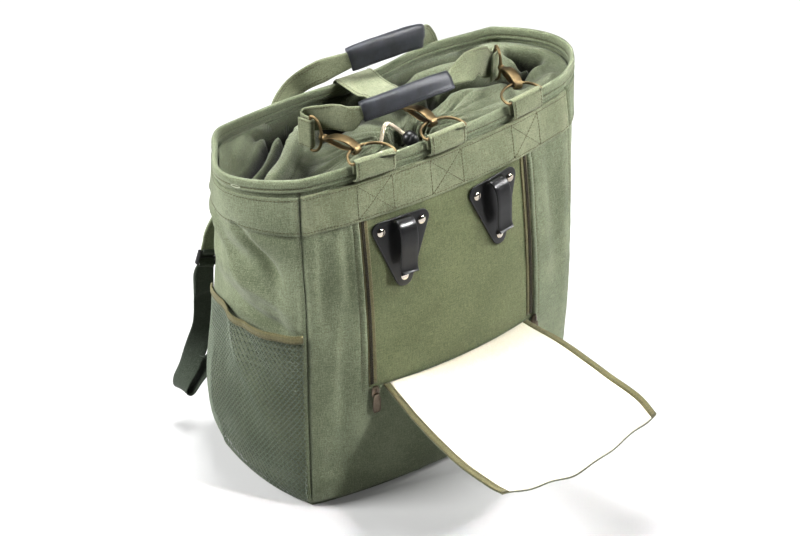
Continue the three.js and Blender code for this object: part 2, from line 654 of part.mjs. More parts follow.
const REAR_GRIP = [
  { x: -12, y: 66, z: 425, sx: -0.3, sy: 0.35, sz: 0.89 },
  { x: 12, y: 64, z: 427.5, sx: -0.2, sy: 0.35, sz: 0.91 },
  { x: 36, y: 63, z: 428.5, sx: 0, sy: 0.35, sz: 0.94 },
  { x: 60, y: 65, z: 427.5, sx: 0.1, sy: 0.35, sz: 0.94 },
  { x: 82, y: 69, z: 424, sx: 0.2, sy: 0.35, sz: 0.92 },
];
const REAR_FALL = [
  { x: 100, y: 86, z: 414, sx: 0.6, sy: 0.3, sz: 0.75, half: REAR_HALF - 3 },
];
const REAR_RIGHT = [
  { x: 109, z: 400, out: 4 },
  { x: 113, z: 384, out: 0.6 },
  { x: 115, z: 366, out: 0 },
  { x: 116, z: 347, out: 0 },
];
const sewn = ({ x, z, out }, sx, sz) => {
  const p = onBack(x, Math.min(z, RIM_TOP), BACK_STRAP_OFF + out);
  const side = backSide(x, Math.min(z, RIM_TOP - 5), sx, sz);
  return rowAt(V(p.x, p.y, z), side.x, side.y, side.z, REAR_HALF, WEBBING);
};
const rearRows = REAR_LEFT.map((row, i) => sewn(row, -1, 0.12 * i));
rearRows.push(...REAR_RISE.map((row) => ({ ...row, thick: WEBBING })));
const rearGripAt = rearRows.length;
for (const row of REAR_GRIP) rearRows.push({ ...row, ...REAR_CORE });
rearRows.push(...REAR_FALL.map((row) => ({ ...row, thick: WEBBING })));
rearRows.push(...REAR_RIGHT.map((row, i) => sewn(row, 1, 0.12 * (3 - i))));
const rearRoute = route(rearRows, 2);
add('rear_handle_strap', 'webbing', strap(rearRoute));
add('rear_handle_grip', 'leather', sleeve(gripSteps(rearRoute, rearGripAt, REAR_GRIP), 8, GRIP_WALL));

// Closure strap: from the back, over the rear rim and across the mouth to the middle snap hook
const CLOSURE_HALF = 23;
const CLOSURE_X = -3;
const midBail = bailBar('mid');
const midRow = (g, h) => {
  const at = midBail.bar.clone().addScaledVector(midBail.away, g).add(V(0, 0, h));
  return rowAt(at, midBail.wide.x, midBail.wide.y, 0, STRAP_HALF, WEBBING);
};
const CLOSURE_BACK = [
  { z: 349, off: 0.4, up: 0 },
  { z: 368, off: 1, up: 0 },
  { z: 386, off: 1.7, up: 0 },
  { z: 397, off: 1.7, up: 0 },
  { z: 400, off: -0.6, up: 2 },
  { z: 400, off: -5, up: 2.8 },
  { z: 400, off: -13, up: 2.6 },
];
const closureRows = CLOSURE_BACK.map(({ z, off, up }) => {
  const p = onBack(CLOSURE_X, z, BACK_STRAP_OFF + off);
  const side = backSide(CLOSURE_X, Math.min(z, RIM_TOP - 5), 1, 0);
  return rowAt(V(p.x, p.y, p.z + up), side.x, side.y, side.z, CLOSURE_HALF, WEBBING);
});
const CLOSURE_TOP = [
  { y: 52, z: 401.6, half: 22 },
  { y: 36, z: 401.4, half: 22 },
  { y: 22, z: 404, half: 20 },
];
for (const { y, z, half } of CLOSURE_TOP) {
  closureRows.push(rowAt(V(CLOSURE_X, y, z), 1, 0, 0, half, WEBBING));
}
closureRows.push(midRow(9, -TURN));
for (const angle of spread(-Math.PI / 2, -1.5 * Math.PI, 6)) {
  closureRows.push(midRow(TURN * Math.cos(angle), TURN * Math.sin(angle)));
}
closureRows.push(midRow(9, TURN), midRow(16, TURN));
add('closure_strap', 'webbing', strap(route(closureRows, 2)));

// Gathered collar inside the rim: how high it lies round the mouth, and how far in its lowest line runs
const COLLAR_SECTORS = [
  { t: 0, reach: 0.25, foot: 362, crest: 376 },
  { t: 0.5, reach: 0.3, foot: 372, crest: 384 },
  { t: 0.75, reach: 0.3, foot: 385, crest: 392 },
  { t: 1, reach: 0.25, foot: 385, crest: 391 },
  { t: 1.5, reach: 0.22, foot: 374, crest: 387 },
  { t: 2, reach: 0.16, foot: 389, crest: 387 },
  { t: 2.25, reach: 0.16, foot: 391, crest: 385 },
  { t: 2.5, reach: 0.22, foot: 374, crest: 384 },
  { t: 2.75, reach: 0.15, foot: 346, crest: 376 },
  { t: 3, reach: 0.18, foot: 344, crest: 370 },
  { t: 3.5, reach: 0.36, foot: 360, crest: 370 },
  { t: 4, reach: 0.25, foot: 362, crest: 376 },
];

// Share of each of those lines from the collar's seam on the wall to the drawn throat
const COLLAR_PROFILE = [
  { v: 0, rim: 1, foot: 0, crest: 0, lip: 0, fold: 0 },
  { v: 0.3, rim: 0, foot: 1, crest: 0, lip: 0, fold: 1.5 },
  { v: 0.65, rim: 0, foot: 0, crest: 1, lip: 0, fold: 3.5 },
  { v: 1, rim: 0, foot: 0, crest: 0, lip: 1, fold: 3 },
];
const COLLAR_ROWS = [0, 0.08, 0.18, 0.3, 0.42, 0.54, 0.65, 0.8, 1];
const COLLAR_RIM = 384;
const COLLAR_LIP = 389;
const COLLAR_CREST_REACH = 0.62;
const COLLAR_SEAT = 2.4;
const COLLAR_STEPS = 46;
const THROAT = { x: -23, y: -41.5, wide: 43, deep: 15 };
const PLEATS = 13;
const PLEAT_PINCH = 0.16;

// Soft ridges and valleys along lines across the collar
const RUCKS = [
  { x0: -154, y0: 6, x1: -98, y1: 64, wide: 5.5, height: -16 },
  { x0: -148, y0: -16, x1: -80, y1: 52, wide: 12, height: 14 },
  { x0: -128, y0: -56, x1: -70, y1: -52, wide: 11, height: 8 },
  { x0: 54, y0: -34, x1: 126, y1: -29, wide: 13, height: 7 },
  { x0: 36, y0: -10, x1: 138, y1: 4, wide: 6.5, height: -18 },
  { x0: 70, y0: 76, x1: 165, y1: 78, wide: 7, height: 6 },
  { x0: 72, y0: 64, x1: 156, y1: 66, wide: 6, height: -13 },
  { x0: 60, y0: 43, x1: 140, y1: 37, wide: 11, height: 5 },
  { x0: 150, y0: -14, x1: 196, y1: 36, wide: 6.5, height: -13 },
  { x0: 142, y0: -40, x1: 186, y1: -20, wide: 9, height: 6 },
];
const RUCK_CLEAR = 0.14;
function ruckHeight(x, y) {
  return RUCKS.reduce((sum, { x0, y0, x1, y1, wide, height }) => {
    const run = new THREE.Vector2(x1 - x0, y1 - y0);
    const from = new THREE.Vector2(x - x0, y - y0);
    const part = THREE.MathUtils.clamp(from.dot(run) / run.lengthSq(), 0, 1);
    const away = from.addScaledVector(run, -part).length() / wide;
    return sum + height * Math.exp(-away * away);
  }, 0);
}
function collarPoint(t, v, drop) {
  const part = (name) => column(COLLAR_PROFILE, 'v', name, v);
  const sector = (name) => column(COLLAR_SECTORS, 't', name, t);
  const level = COLLAR_RIM * part('rim') + sector('foot') * part('foot')
    + sector('crest') * part('crest') + COLLAR_LIP * part('lip');
  const share = sector('reach') * part('foot') + COLLAR_CREST_REACH * part('crest') + part('lip');
  const wallPoint = ringPoint(t, level, -CANVAS - COLLAR_SEAT);
  const angle = Math.atan2(wallPoint.y - THROAT.y, (wallPoint.x - THROAT.x) * 0.45);
  const slip = 0.9 * Math.sin(2 * angle + 1);
  const pinch = 1 + PLEAT_PINCH * Math.sin(PLEATS * angle + slip) * share;
  const throatX = THROAT.x + THROAT.wide * pinch * Math.cos(angle);
  const throatY = THROAT.y + THROAT.deep * pinch * Math.sin(angle);
  const p = wallPoint.lerp(V(throatX, throatY, wallPoint.z), share);
  const fold = Math.sin(PLEATS * angle + slip);
  const ruck = ruckHeight(p.x, p.y) * Math.min(v / RUCK_CLEAR, 1);
  return V(p.x, p.y, level + part('fold') * fold + ruck - drop);
}
add('drawstring_collar', 'canvas', sheet(
  spread(0, 4, COLLAR_STEPS).slice(0, COLLAR_STEPS),
  COLLAR_ROWS,
  (t, v, face) => collarPoint(t, v, face === 0 ? 0 : COLLAR_CLOTH),
  { closed: true },
));

// Drawstring loop standing out of the collar, and its lock
const CORD_R = 2;
const CORD_ROUTE = [
  { x: -53, y: -43, z: 372.4 },
  { x: -53.4, y: -44, z: 377.5 },
  { x: -53.8, y: -45, z: 382 },
  { x: -54, y: -45.8, z: 386.6 },
  { x: -53.9, y: -46.4, z: 391.2 },
  { x: -53.3, y: -46.6, z: 395.8 },
  { x: -52, y: -46, z: 400.2 },
  { x: -49.8, y: -44.6, z: 404.2 },
  { x: -46.8, y: -42.6, z: 407 },
  { x: -43.4, y: -41, z: 408.2 },
  { x: -40.2, y: -41.4, z: 407.6 },
  { x: -37.4, y: -44, z: 405.8 },
  { x: -35.2, y: -47.4, z: 403.6 },
  { x: -33.2, y: -51, z: 401.4 },
  { x: -31.5, y: -54.5, z: 399.5 },
];
const cordPoints = CORD_ROUTE.map((r) => V(r.x, r.y, r.z));
const cordCurve = new THREE.CatmullRomCurve3(cordPoints, false, 'catmullrom', 0.5);
add('drawstring', 'cord', cord(cordCurve.getPoints(2 * CORD_ROUTE.length - 2), CORD_R, 8));
const LOCK_ROWS = [
  { along: 0.4, radius: 4 },
  { along: 1.6, radius: 5.6 },
  { along: 4, radius: 7 },
  { along: 8, radius: 7.6 },
  { along: 12, radius: 6.8 },
  { along: 15, radius: 4.6 },
  { along: 16, radius: 2.6 },
];
const lockAxis = cordCurve.getTangent(1).normalize();
add('cord_lock', 'plate', turned(cordCurve.getPoint(1), lockAxis, LOCK_ROWS, 10));

// Rack hooks: a riveted plate with a spring tongue bent out over it and open below
const HOOKS = {
  left: { x: -62.5, z: 294.5, turn: 0 },
  right: { x: 58, z: 296.5, turn: 0.07 },
};
const PLATE_THICK = 1.8;
const PLATE_SEAT = 0.4;
const RIVETS = [
  { x: -23.5, y: 28 },
  { x: 23.5, y: 28 },
  { x: 0, y: -27.5 },
];
const RIVET_PROFILE = [
  { along: 0, radius: 4.6 },
  { along: 0.9, radius: 4.5 },
  { along: 1.9, radius: 3.1 },
  { along: 2.3, radius: 1.2 },
];
const PLATE_CORNERS = [
  { x: -24, y: 30, radius: 9 },
  { x: 0, y: -29, radius: 10 },
  { x: 24, y: 30, radius: 9 },
];
const TONGUE_ROWS = [
  { up: 36, out: 1.25 },
  { up: 38.4, out: 3.4 },
  { up: 37.6, out: 8 },
  { up: 33, out: 12.4 },
  { up: 25, out: 14.6 },
  { up: 14, out: 14.4 },
  { up: 2, out: 12.4 },
  { up: -10, out: 10.6 },
  { up: -16, out: 10.8 },
  { up: -19.5, out: 12.6 },
];
const TONGUE_HALF = 10;
const TONGUE_THICK = 1.8;
function hookFrame({ x, z, turn }) {
  const u = shareAt(FRONT, x, z);
  const at = (du, dz, off) => bodyPoint(FRONT, u + du, z + dz, off);
  const level = at(0.08, 0, HOOK_OUT).sub(at(-0.08, 0, HOOK_OUT)).normalize();
  const rise = at(0, 40, HOOK_OUT).sub(at(0, -40, HOOK_OUT)).normalize();
  const out = level.clone().cross(rise).normalize();
  const right = level.applyAxisAngle(out, turn);
  const up = out.clone().cross(right);
  return { origin: at(0, 0, HOOK_OUT).addScaledVector(out, PLATE_SEAT), right, up, out };
}
const inFrame = (f, a, b, c) => f.origin.clone().addScaledVector(f.right, a)
  .addScaledVector(f.up, b).addScaledVector(f.out, c);
function plateOutline(steps) {
  const points = [];
  PLATE_CORNERS.forEach((c, i) => {
    const before = PLATE_CORNERS[(i + 2) % 3];
    const after = PLATE_CORNERS[(i + 1) % 3];
    const square = (a, b) => new THREE.Vector2(b.y - a.y, a.x - b.x).normalize();
    const from = square(before, c).angle();
    const to = square(c, after).angle();
    const sweep = ((to - from + 2 * Math.PI) % (2 * Math.PI));
    for (const part of spread(0, 1, steps)) {
      const angle = from + sweep * part;
      points.push({ x: c.x + c.radius * Math.cos(angle), y: c.y + c.radius * Math.sin(angle) });
    }
  });
  return points;
}
for (const [name, place] of Object.entries(HOOKS)) {
  const f = hookFrame(place);
  const outline = plateOutline(5);
  const faces = [0, PLATE_THICK].map((c) => outline.map((p) => inFrame(f, p.x, p.y, c)));
  add(`hook_${name}_plate`, 'plate', loft(faces));
  const tongue = TONGUE_ROWS.map(({ up, out }) => ({
    at: inFrame(f, 0, up, PLATE_THICK + out),
    side: f.right,
    half: TONGUE_HALF,
    thick: TONGUE_THICK,
  }));
  add(`hook_${name}_tongue`, 'plate', strap(tongue));
  RIVETS.forEach((r, i) => {
    const seat = inFrame(f, r.x, r.y, PLATE_THICK + GAP);
    add(`hook_${name}_rivet_${i + 1}`, 'nickel', turned(seat, f.out, RIVET_PROFILE, 10), 1);
  });
}

// Flap folded down from the window's lower edge: rows run from the hinge to the outer edge
const FLAP_ROWS = [
  { v: 0, out: 0, left: -93, right: 99, drop: 0, belly: 0, tilt: 0 },
  { v: 0.1, out: 14, left: -92, right: 100, drop: 2, belly: 1, tilt: 3 },
  { v: 0.3, out: 50, left: -90, right: 105, drop: 8, belly: 4, tilt: 10 },
  { v: 0.5, out: 90, left: -88, right: 109, drop: 14, belly: 5, tilt: 13 },
  { v: 0.7, out: 128, left: -87, right: 114, drop: 18, belly: 6, tilt: 12 },
  { v: 0.88, out: 161, left: -85, right: 123, drop: 22, belly: 8, tilt: 7 },
  { v: 1, out: 180, left: -83, right: 129, drop: 28, belly: 10, tilt: -1 },
];
const FLAP_CLOTH = 1.4;
const FLAP_LINING = 1;
const FLAP_TAPE = 0.035;
const FLAP_WAVE = 2.6;
function flapPoint(u, v, up) {
  const at = (name) => column(FLAP_ROWS, 'v', name, v);
  const x = at('left') + (at('right') - at('left')) * u;
  const hinge = bodyPoint(FRONT, shareAt(FRONT, x, HINGE_Z), HINGE_Z - 2, 0.7);
  const sag = at('belly') * 4 * u * (1 - u);
  const wave = v * v * FLAP_WAVE * Math.sin(9.5 * u + 0.6);
  const lean = at('tilt') * (2 * u - 1);
  return V(x, hinge.y - at('out'), HINGE_Z - 1.5 - at('drop') - sag + lean + wave + up);
}
const flapLayer = (low, high) => (u, v, face) => flapPoint(u, v, face === 0 ? high : low);
const FLAP_U = [0, FLAP_TAPE, 0.17, 0.34, 0.5, 0.66, 0.83, 1 - FLAP_TAPE, 1];
const FLAP_V = [0, 0.1, 0.25, 0.4, 0.55, 0.7, 0.85, 1 - FLAP_TAPE, 1];
add('flap_canvas', 'canvas', sheet(FLAP_U, FLAP_V, flapLayer(0, FLAP_CLOTH)));
const onCanvas = FLAP_CLOTH + GAP;
const inset = FLAP_TAPE + 0.002;
add('flap_lining', 'lining', sheet(
  [inset, 0.17, 0.34, 0.5, 0.66, 0.83, 1 - inset],
  [0, 0.1, 0.25, 0.4, 0.55, 0.7, 0.85, 1 - inset],
  flapLayer(onCanvas, onCanvas + FLAP_LINING),
));
add('flap_tape', 'binding', sheet(FLAP_U, FLAP_V, flapLayer(onCanvas, onCanvas + 1.6), {
  keep: (i, j) => i === 0 || i === FLAP_U.length - 2 || j === FLAP_V.length - 2,
}));

// Zip sliders at the foot of the zips, each with a hanging pull
const SLIDERS = { left: ZIP_LEFT + 0.017, right: ZIP_RIGHT - 0.006 };
const PULL_OUTLINE = [
  { x: -2.6, y: 0 },
  { x: 2.6, y: 0 },
  { x: 4.4, y: -9 },
  { x: 4.4, y: -20 },
  { x: 2.6, y: -23.5 },
  { x: -2.6, y: -23.5 },
  { x: -4.4, y: -20 },
  { x: -4.4, y: -9 },
];
for (const [name, u] of Object.entries(SLIDERS)) {
  const level = HINGE_Z - 4;
  const seat = bodyPoint(FRONT, u, level, 0.4);
  const out = bodyPoint(FRONT, u, level, 10).sub(bodyPoint(FRONT, u, level, 0)).normalize();
  const right = V(-out.y, out.x, 0);
  const f = { origin: seat, right, up: V(0, 0, 1), out };
  const body = [
    { up: 7, half: 3, thick: 2.6 },
    { up: 3, half: 4.6, thick: 3.4 },
    { up: -3, half: 4.6, thick: 3.4 },
    { up: -6, half: 3.2, thick: 2.6 },
  ].map((r) => ({ at: inFrame(f, 0, r.up, 2), side: right, half: r.half, thick: r.thick }));
  add(`zip_${name}_slider`, 'brass', strap(body), 1);
  const tab = [4.2, 5.8].map((c) => PULL_OUTLINE.map((p) => inFrame(f, p.x, p.y - 1, c)));
  add(`zip_${name}_pull`, 'brass', loft(tab), 1);
}

// Mesh pocket on the left gusset, with its bound top edge
const POCKET_EDGE = [
  { u: 0, z: 209 },
  { u: 0.35, z: 202 },
  { u: 0.7, z: 206 },
  { u: 1, z: 219 },
];
const POCKET_U = inner(SIDE_COLUMNS);
const POCKET_FOOT = 7;
const POCKET_SEAT = 0.3;
const POCKET_SLACK = 9;
const POCKET_RIPPLE = 1.1;
const POCKET_HUG = 0.75;
const POCKET_V = [0, 0.035, 0.115, 0.265, 0.465, 0.695, 0.9, 1];
const pocketTop = (u) => column(POCKET_EDGE, 'u', 'z', u);
function pocketOff(u, v) {
  const upper = THREE.MathUtils.smoothstep(v, 0.5, 1);
  const rear = 1 - THREE.MathUtils.smoothstep(u, 0.2, 0.65);
  const slack = POCKET_SLACK * (4 * u * (1 - u)) ** 0.7 * Math.min(1, 0.25 + v * 2);
  const ripple = POCKET_RIPPLE * Math.sin(26 * u) * Math.min(1, 4 * u * (1 - u)) * v;
  return POCKET_SEAT + (slack + ripple) * (1 - POCKET_HUG * upper * rear);
}
const pocketPoint = (u, v, off) => {
  const z = POCKET_FOOT + (pocketTop(u) - POCKET_FOOT) * v;
  return bodyPoint(LEFT, u, z, pocketOff(u, v) + off);
};
const pocketNet = (u, v, face) => pocketPoint(u, v, face === 0 ? MESH_CLOTH : 0);
add('pocket_mesh', 'mesh', sheet(POCKET_U, POCKET_V, pocketNet));
const BINDING_TALL = 10;
add('pocket_binding', 'binding', sheet(POCKET_U, [0, 1], (u, v, face) => {
  const p = pocketPoint(u, 1, face === 0 ? 2.4 : -0.2);
  p.z += GAP + BINDING_TALL * v;
  return p;
}));

// Shoulder straps on the back: broad upper part, ladder lock, and webbing to the lower seam
const STRAP_ROWS = [
  { x: -52, y: 0, z: 378, sx: 1, sy: 0, sz: 0.1, half: 20, thick: 3, sewn: 0.6 },
  { x: -57, y: 0, z: 361, sx: 1, sy: 0, sz: -0.1, half: 20, thick: 3, sewn: 2 },
  { x: -69, y: 110, z: 330, sx: 0.9, sy: 0, sz: -0.4, half: 21, thick: 5, sewn: 0 },
  { x: -94, y: 124, z: 293, sx: 0.8, sy: 0, sz: -0.6, half: 21, thick: 5, sewn: 0 },
  { x: -122, y: 129, z: 258, sx: 0.8, sy: 0, sz: -0.6, half: 19, thick: 5, sewn: 0 },
  { x: -145, y: 129, z: 239, sx: 0.87, sy: 0, sz: -0.48, half: 14, thick: 3, sewn: 0 },
  { x: -154.1, y: 128.4, z: 223, sx: 0.93, sy: 0, sz: -0.36, half: 11.5, thick: 2.6, sewn: 0 },
  { x: -157, y: 128, z: 215.6, sx: 0.93, sy: 0, sz: -0.36, half: 11, thick: 2.4, sewn: 0 },
];
const WEB_ROWS = [
  { x: -163, y: 128, z: 199.2, sx: 0.93, sy: 0, sz: -0.36, half: 11, thick: 2 },
  { x: -166, y: 128.6, z: 189.4, sx: 0.935, sy: 0, sz: -0.35, half: 12.5, thick: 4.4 },
  { x: -167, y: 129.4, z: 168, sx: 0.99, sy: 0, sz: -0.12, half: 12.5, thick: 4.4 },
  { x: -167.4, y: 130, z: 158, sx: 0.99, sy: 0, sz: -0.12, half: 12.5, thick: 1.9 },
  { x: -170, y: 131, z: 126, sx: 0.96, sy: -0.1, sz: -0.25, half: 12.5, thick: 1.9 },
  { x: -179, y: 132, z: 98, sx: 0.8, sy: -0.5, sz: -0.3, half: 12.5, thick: 1.9 },
  { x: -191, y: 132, z: 73, sx: 0.45, sy: -0.88, sz: -0.15, half: 12.5, thick: 1.9 },
  { x: -203, y: 131, z: 57, sx: 0.25, sy: -0.96, sz: -0.05, half: 12.5, thick: 1.9 },
  { x: -205, y: 129, z: 48, sx: 0.15, sy: -0.98, sz: 0, half: 12.5, thick: 1.9 },
  { x: -198, y: 127, z: 45, sx: 0.1, sy: -0.98, sz: 0.1, half: 12.5, thick: 1.9 },
  { x: -187, y: 127, z: 57, sx: 0.3, sy: -0.85, sz: 0.3, half: 12.5, thick: 1.9 },
  { x: -172, y: 124.5, z: 76, sx: 0.75, sy: -0.35, sz: 0.5, half: 12.5, thick: 1.9 },
  { x: -158, y: 0, z: 92, sx: 0.7, sy: 0, sz: -0.7, half: 12.5, thick: 1.9, sewn: 1.2 },
  { x: -140, y: 0, z: 106, sx: 0.6, sy: 0, sz: -0.8, half: 12.5, thick: 1.9, sewn: 1.2 },
];
const LOCK_PLATE = { x: -159.9, y: 128, z: 207.6, wide: 26.5, tall: 16, thick: 5.2, wall: 3.2 };
const MIRROR_X = -3;
function mirrored(rows, way) {
  return rows.map((r) => {
    const off = r.z > 300 ? BACK_STRAP_OFF + r.thick / 2 + r.sewn : r.thick / 2 + r.sewn;
    const x = way > 0 ? r.x : 2 * MIRROR_X - r.x;
    if (!r.sewn) return { ...r, x, sx: way * r.sx };
    const side = backSide(x, r.z, way * r.sx, r.sz);
    return { ...r, x, y: onBack(x, r.z, off).y, sx: side.x, sy: side.y, sz: side.z };
  });
}
for (const [name, way] of [['left', 1], ['right', -1]]) {
  add(`shoulder_${name}_strap`, 'canvas', strap(route(mirrored(STRAP_ROWS, way), 3)));
  add(`shoulder_${name}_webbing`, 'darkWeb', strap(route(mirrored(WEB_ROWS, way), 2)));
  const k = LOCK_PLATE;
  const shape = new THREE.Shape();
  const w = k.wide / 2;
  const h = k.tall / 2;
  shape.moveTo(-w, -h).lineTo(w, -h).lineTo(w, h).lineTo(-w, h).closePath();
  for (const low of [-h + 2.6, 1.2]) {
    const slot = new THREE.Path();
    const sw = w - k.wall;
    const high = low + h - 3.8;
    slot.moveTo(-sw, low).lineTo(-sw, high).lineTo(sw, high).lineTo(sw, low).closePath();
    shape.holes.push(slot);
  }
  const geometry = new THREE.ExtrudeGeometry(shape, { depth: k.thick, bevelEnabled: false });
  geometry.translate(0, 0, -k.thick / 2);
  geometry.rotateX(Math.PI / 2);
  geometry.rotateY(way * Math.atan2(0.36, 0.93));
  geometry.translate(way > 0 ? k.x : 2 * MIRROR_X - k.x, k.y, k.z);
  add(`shoulder_${name}_lock`, 'plate', geometry);
}

export default bag;
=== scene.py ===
import math

import bpy
import numpy as np
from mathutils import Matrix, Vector


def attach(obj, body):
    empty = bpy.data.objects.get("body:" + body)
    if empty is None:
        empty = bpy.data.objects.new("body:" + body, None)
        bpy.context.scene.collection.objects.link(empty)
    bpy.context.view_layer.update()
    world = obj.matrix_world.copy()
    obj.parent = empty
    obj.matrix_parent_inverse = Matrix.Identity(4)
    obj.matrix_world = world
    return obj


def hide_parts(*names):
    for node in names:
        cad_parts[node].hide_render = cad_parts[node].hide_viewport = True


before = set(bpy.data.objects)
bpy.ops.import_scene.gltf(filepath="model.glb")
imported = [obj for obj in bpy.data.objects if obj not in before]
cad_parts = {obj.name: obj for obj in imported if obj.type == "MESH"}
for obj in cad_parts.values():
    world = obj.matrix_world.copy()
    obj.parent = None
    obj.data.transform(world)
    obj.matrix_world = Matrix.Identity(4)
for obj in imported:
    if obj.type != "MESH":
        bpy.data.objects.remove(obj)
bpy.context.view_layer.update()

# Lengths are in millimetres unless a comment says metres, and meshes are scaled to metres as they are made
MM = 0.001


def add(name, data):
    """A new object in the scene."""
    made = bpy.data.objects.new(name, data)
    bpy.context.scene.collection.objects.link(made)
    return made


def look_along(thing, way):
    thing.rotation_mode = "QUATERNION"
    thing.rotation_quaternion = way.to_track_quat("-Z", "Y")


# Camera at the photograph's angle, its distance and target in metres
AZIMUTH = math.radians(-36.5)
ELEVATION = math.radians(34.0)
DISTANCE = 1.8
TARGET = Vector((0.004, 0.0, 0.197))
FOCAL_PX = 1665
FRAME_PX = 800
SENSOR = 36.0


def make_camera():
    level = math.cos(ELEVATION)
    back = Vector((math.sin(AZIMUTH) * level, -math.cos(AZIMUTH) * level, math.sin(ELEVATION)))
    data = bpy.data.cameras.new("camera")
    data.sensor_width = SENSOR
    data.lens = FOCAL_PX / FRAME_PX * SENSOR
    camera = add("camera", data)
    camera.location = TARGET + back * DISTANCE
    look_along(camera, -back)
    bpy.context.scene.camera = camera


make_camera()

# Materials


def linear(colour):
    """Linear colour of a screen colour written as six hex digits, or of a linear grey."""
    if isinstance(colour, float):
        return (colour,) * 3
    shares = [int(colour[i:i + 2], 16) / 255 for i in (0, 2, 4)]
    return tuple(s / 12.92 if s <= 0.04045 else ((s + 0.055) / 1.055) ** 2.4 for s in shares)


class Paint:
    """A material's node tree with short ways to add and join nodes."""

    def __init__(self, name, sockets):
        self.material = bpy.data.materials.new(name)
        self.material.use_nodes = True
        self.tree = self.material.node_tree
        self.shader = self.tree.nodes["Principled BSDF"]
        self.feed(self.shader, sockets)
        self.place = self.tree.nodes.new("ShaderNodeTexCoord").outputs

    def feed(self, node, sockets):
        """Sets a node's sockets to values, or joins them to outputs."""
        for key, value in sockets.items():
            if isinstance(value, bpy.types.NodeSocket):
                self.tree.links.new(value, node.inputs[key])
            else:
                node.inputs[key].default_value = value

    def node(self, kind, output, sockets, **settings):
        """One output of a new node."""
        made = self.tree.nodes.new("ShaderNode" + kind)
        for key, value in settings.items():
            setattr(made, key, value)
        self.feed(made, sockets)
        return made.outputs[output]

    def noise(self, scale, detail=2.0):
        sockets = {"Vector": self.place["Object"], "Scale": scale, "Detail": detail}
        return self.node("TexNoise", "Fac", sockets)

    def yarns(self, across, along):
        """Streaks that follow the threads of a cloth, by its own millimetres."""
        at = self.node("Mapping", "Vector", {"Vector": self.place["UV"], "Scale": (across, along, 1.0)})
        return self.node("TexNoise", "Fac", {"Vector": at, "Scale": 1.0, "Detail": 1.0})

    def wave(self, period, direction):
        scale = 2 * math.pi / (20 * period)
        sockets = {"Vector": self.place["UV"], "Scale": scale, "Distortion": 0.6, "Detail Scale": 0.5}
        return self.node("TexWave", "Fac", sockets, bands_direction=direction)

    def cells(self, scale):
        sockets = {"Vector": self.place["Object"], "Scale": scale}
        return self.node("TexVoronoi", "Distance", sockets, feature="DISTANCE_TO_EDGE")

    def climb(self, value, low, high, start, stop):
        """A smooth climb between two values as another goes from low to high."""
        sockets = {"Value": value, "From Min": low, "From Max": high, "To Min": start, "To Max": stop}
        return self.node("MapRange", "Result", sockets, interpolation_type="SMOOTHSTEP")

    def math(self, operation, first, second):
        return self.node("Math", "Value", {0: first, 1: second}, operation=operation)

    def total(self, *terms):
        """Sum of outputs, each times its share."""
        parts = [output if share == 1 else self.math("MULTIPLY", output, share) for output, share in terms]
        made = parts[0]
        for part in parts[1:]:
            made = self.math("ADD", made, part)
        return made

    def tint(self, factor, *stops):
        """Surface colour that follows a factor through stops."""
        made = self.tree.nodes.new("ShaderNodeValToRGB")
        points = made.color_ramp.elements
        while len(points) < len(stops):
            points.new(0.5)
        for point, (at, colour) in zip(points, stops):
            point.position = at
            point.color = (*linear(colour), 1.0)
        self.feed(made, {"Fac": factor})
        self.feed(self.shader, {"Base Color": made.outputs["Color"]})

    def rough(self, factor, low, high):
        spread = self.node("MapRange", "Result", {"Value": factor, "To Min": low, "To Max": high})
        self.feed(self.shader, {"Roughness": spread})

    def bump(self, height, strength, distance):
        sockets = {"Height": height, "Strength": strength, "Distance": distance}
        self.feed(self.shader, {"Normal": self.node("Bump", "Normal", sockets)})


def cloth(name, dark, light, thread=1.1, depth=0.5, sheen=0.15, roughness=0.9, painted_hollow_shade=None):
    """Woven cloth: crossing threads, slubs in the yarn and slow fading, and where asked a painted shade that
    darkens it low in a hollow.
    """
    paint = Paint(name, {
        "Roughness": roughness, "Sheen Weight": sheen, "Sheen Roughness": 0.5, "Specular IOR Level": 0.2})
    weave = paint.math("MULTIPLY", paint.wave(thread, "X"), paint.wave(thread, "Y"))
    grain = paint.noise(1000.0)
    slub = paint.math("ADD", paint.yarns(1.1, 0.1), paint.yarns(0.1, 1.1))
    fibre = paint.total((grain, 0.45), (slub, 0.2))
    fading = paint.noise(17.0, 3.0)
    tone = paint.total((weave, 0.2), (fibre, 1), (fading, 0.3))
    stops = [(0.52, dark), (0.78, light)]
    # Painted shade: below a height the tone sinks towards a near-black colour, so the cloth darkens low in a
    # hollow as if shadowed
    if painted_hollow_shade:
        colour, high, low = painted_hollow_shade
        height = paint.node("SeparateXYZ", "Z", {"Vector": paint.place["Object"]})
        tone = paint.total((tone, 1), (paint.climb(height, low, high, 1.0, 0.0), -0.5))
        stops.insert(0, (0.12, colour))
    paint.tint(tone, *stops)
    paint.rough(grain, roughness - 0.08, min(roughness + 0.06, 1.0))
    paint.bump(paint.math("ADD", weave, fibre), depth, 0.0007)
    return paint.material


def metal(name, dark, light, low, high, scratch=0.12):
    """Plated metal with darker tarnish in patches and fine rubbing."""
    paint = Paint(name, {"Roughness": low, "Metallic": 1.0})
    paint.tint(paint.noise(60.0, 3.0), (0.2, dark), (0.62, light))
    paint.rough(paint.noise(420.0, 4.0), low, high)
    paint.bump(paint.noise(1500.0, 3.0), scratch, 0.0003)
    return paint.material


def hide(name, dark, light):
    """Grained black leather with a soft shine."""
    paint = Paint(name, {"Roughness": 0.42, "Specular IOR Level": 0.55})
    creases = paint.noise(90.0, 5.0)
    paint.tint(creases, (0.3, dark), (0.8, light))
    paint.rough(creases, 0.34, 0.56)
    paint.bump(paint.total((paint.cells(620.0), 1), (creases, 0.5)), 0.35, 0.0006)
    return paint.material


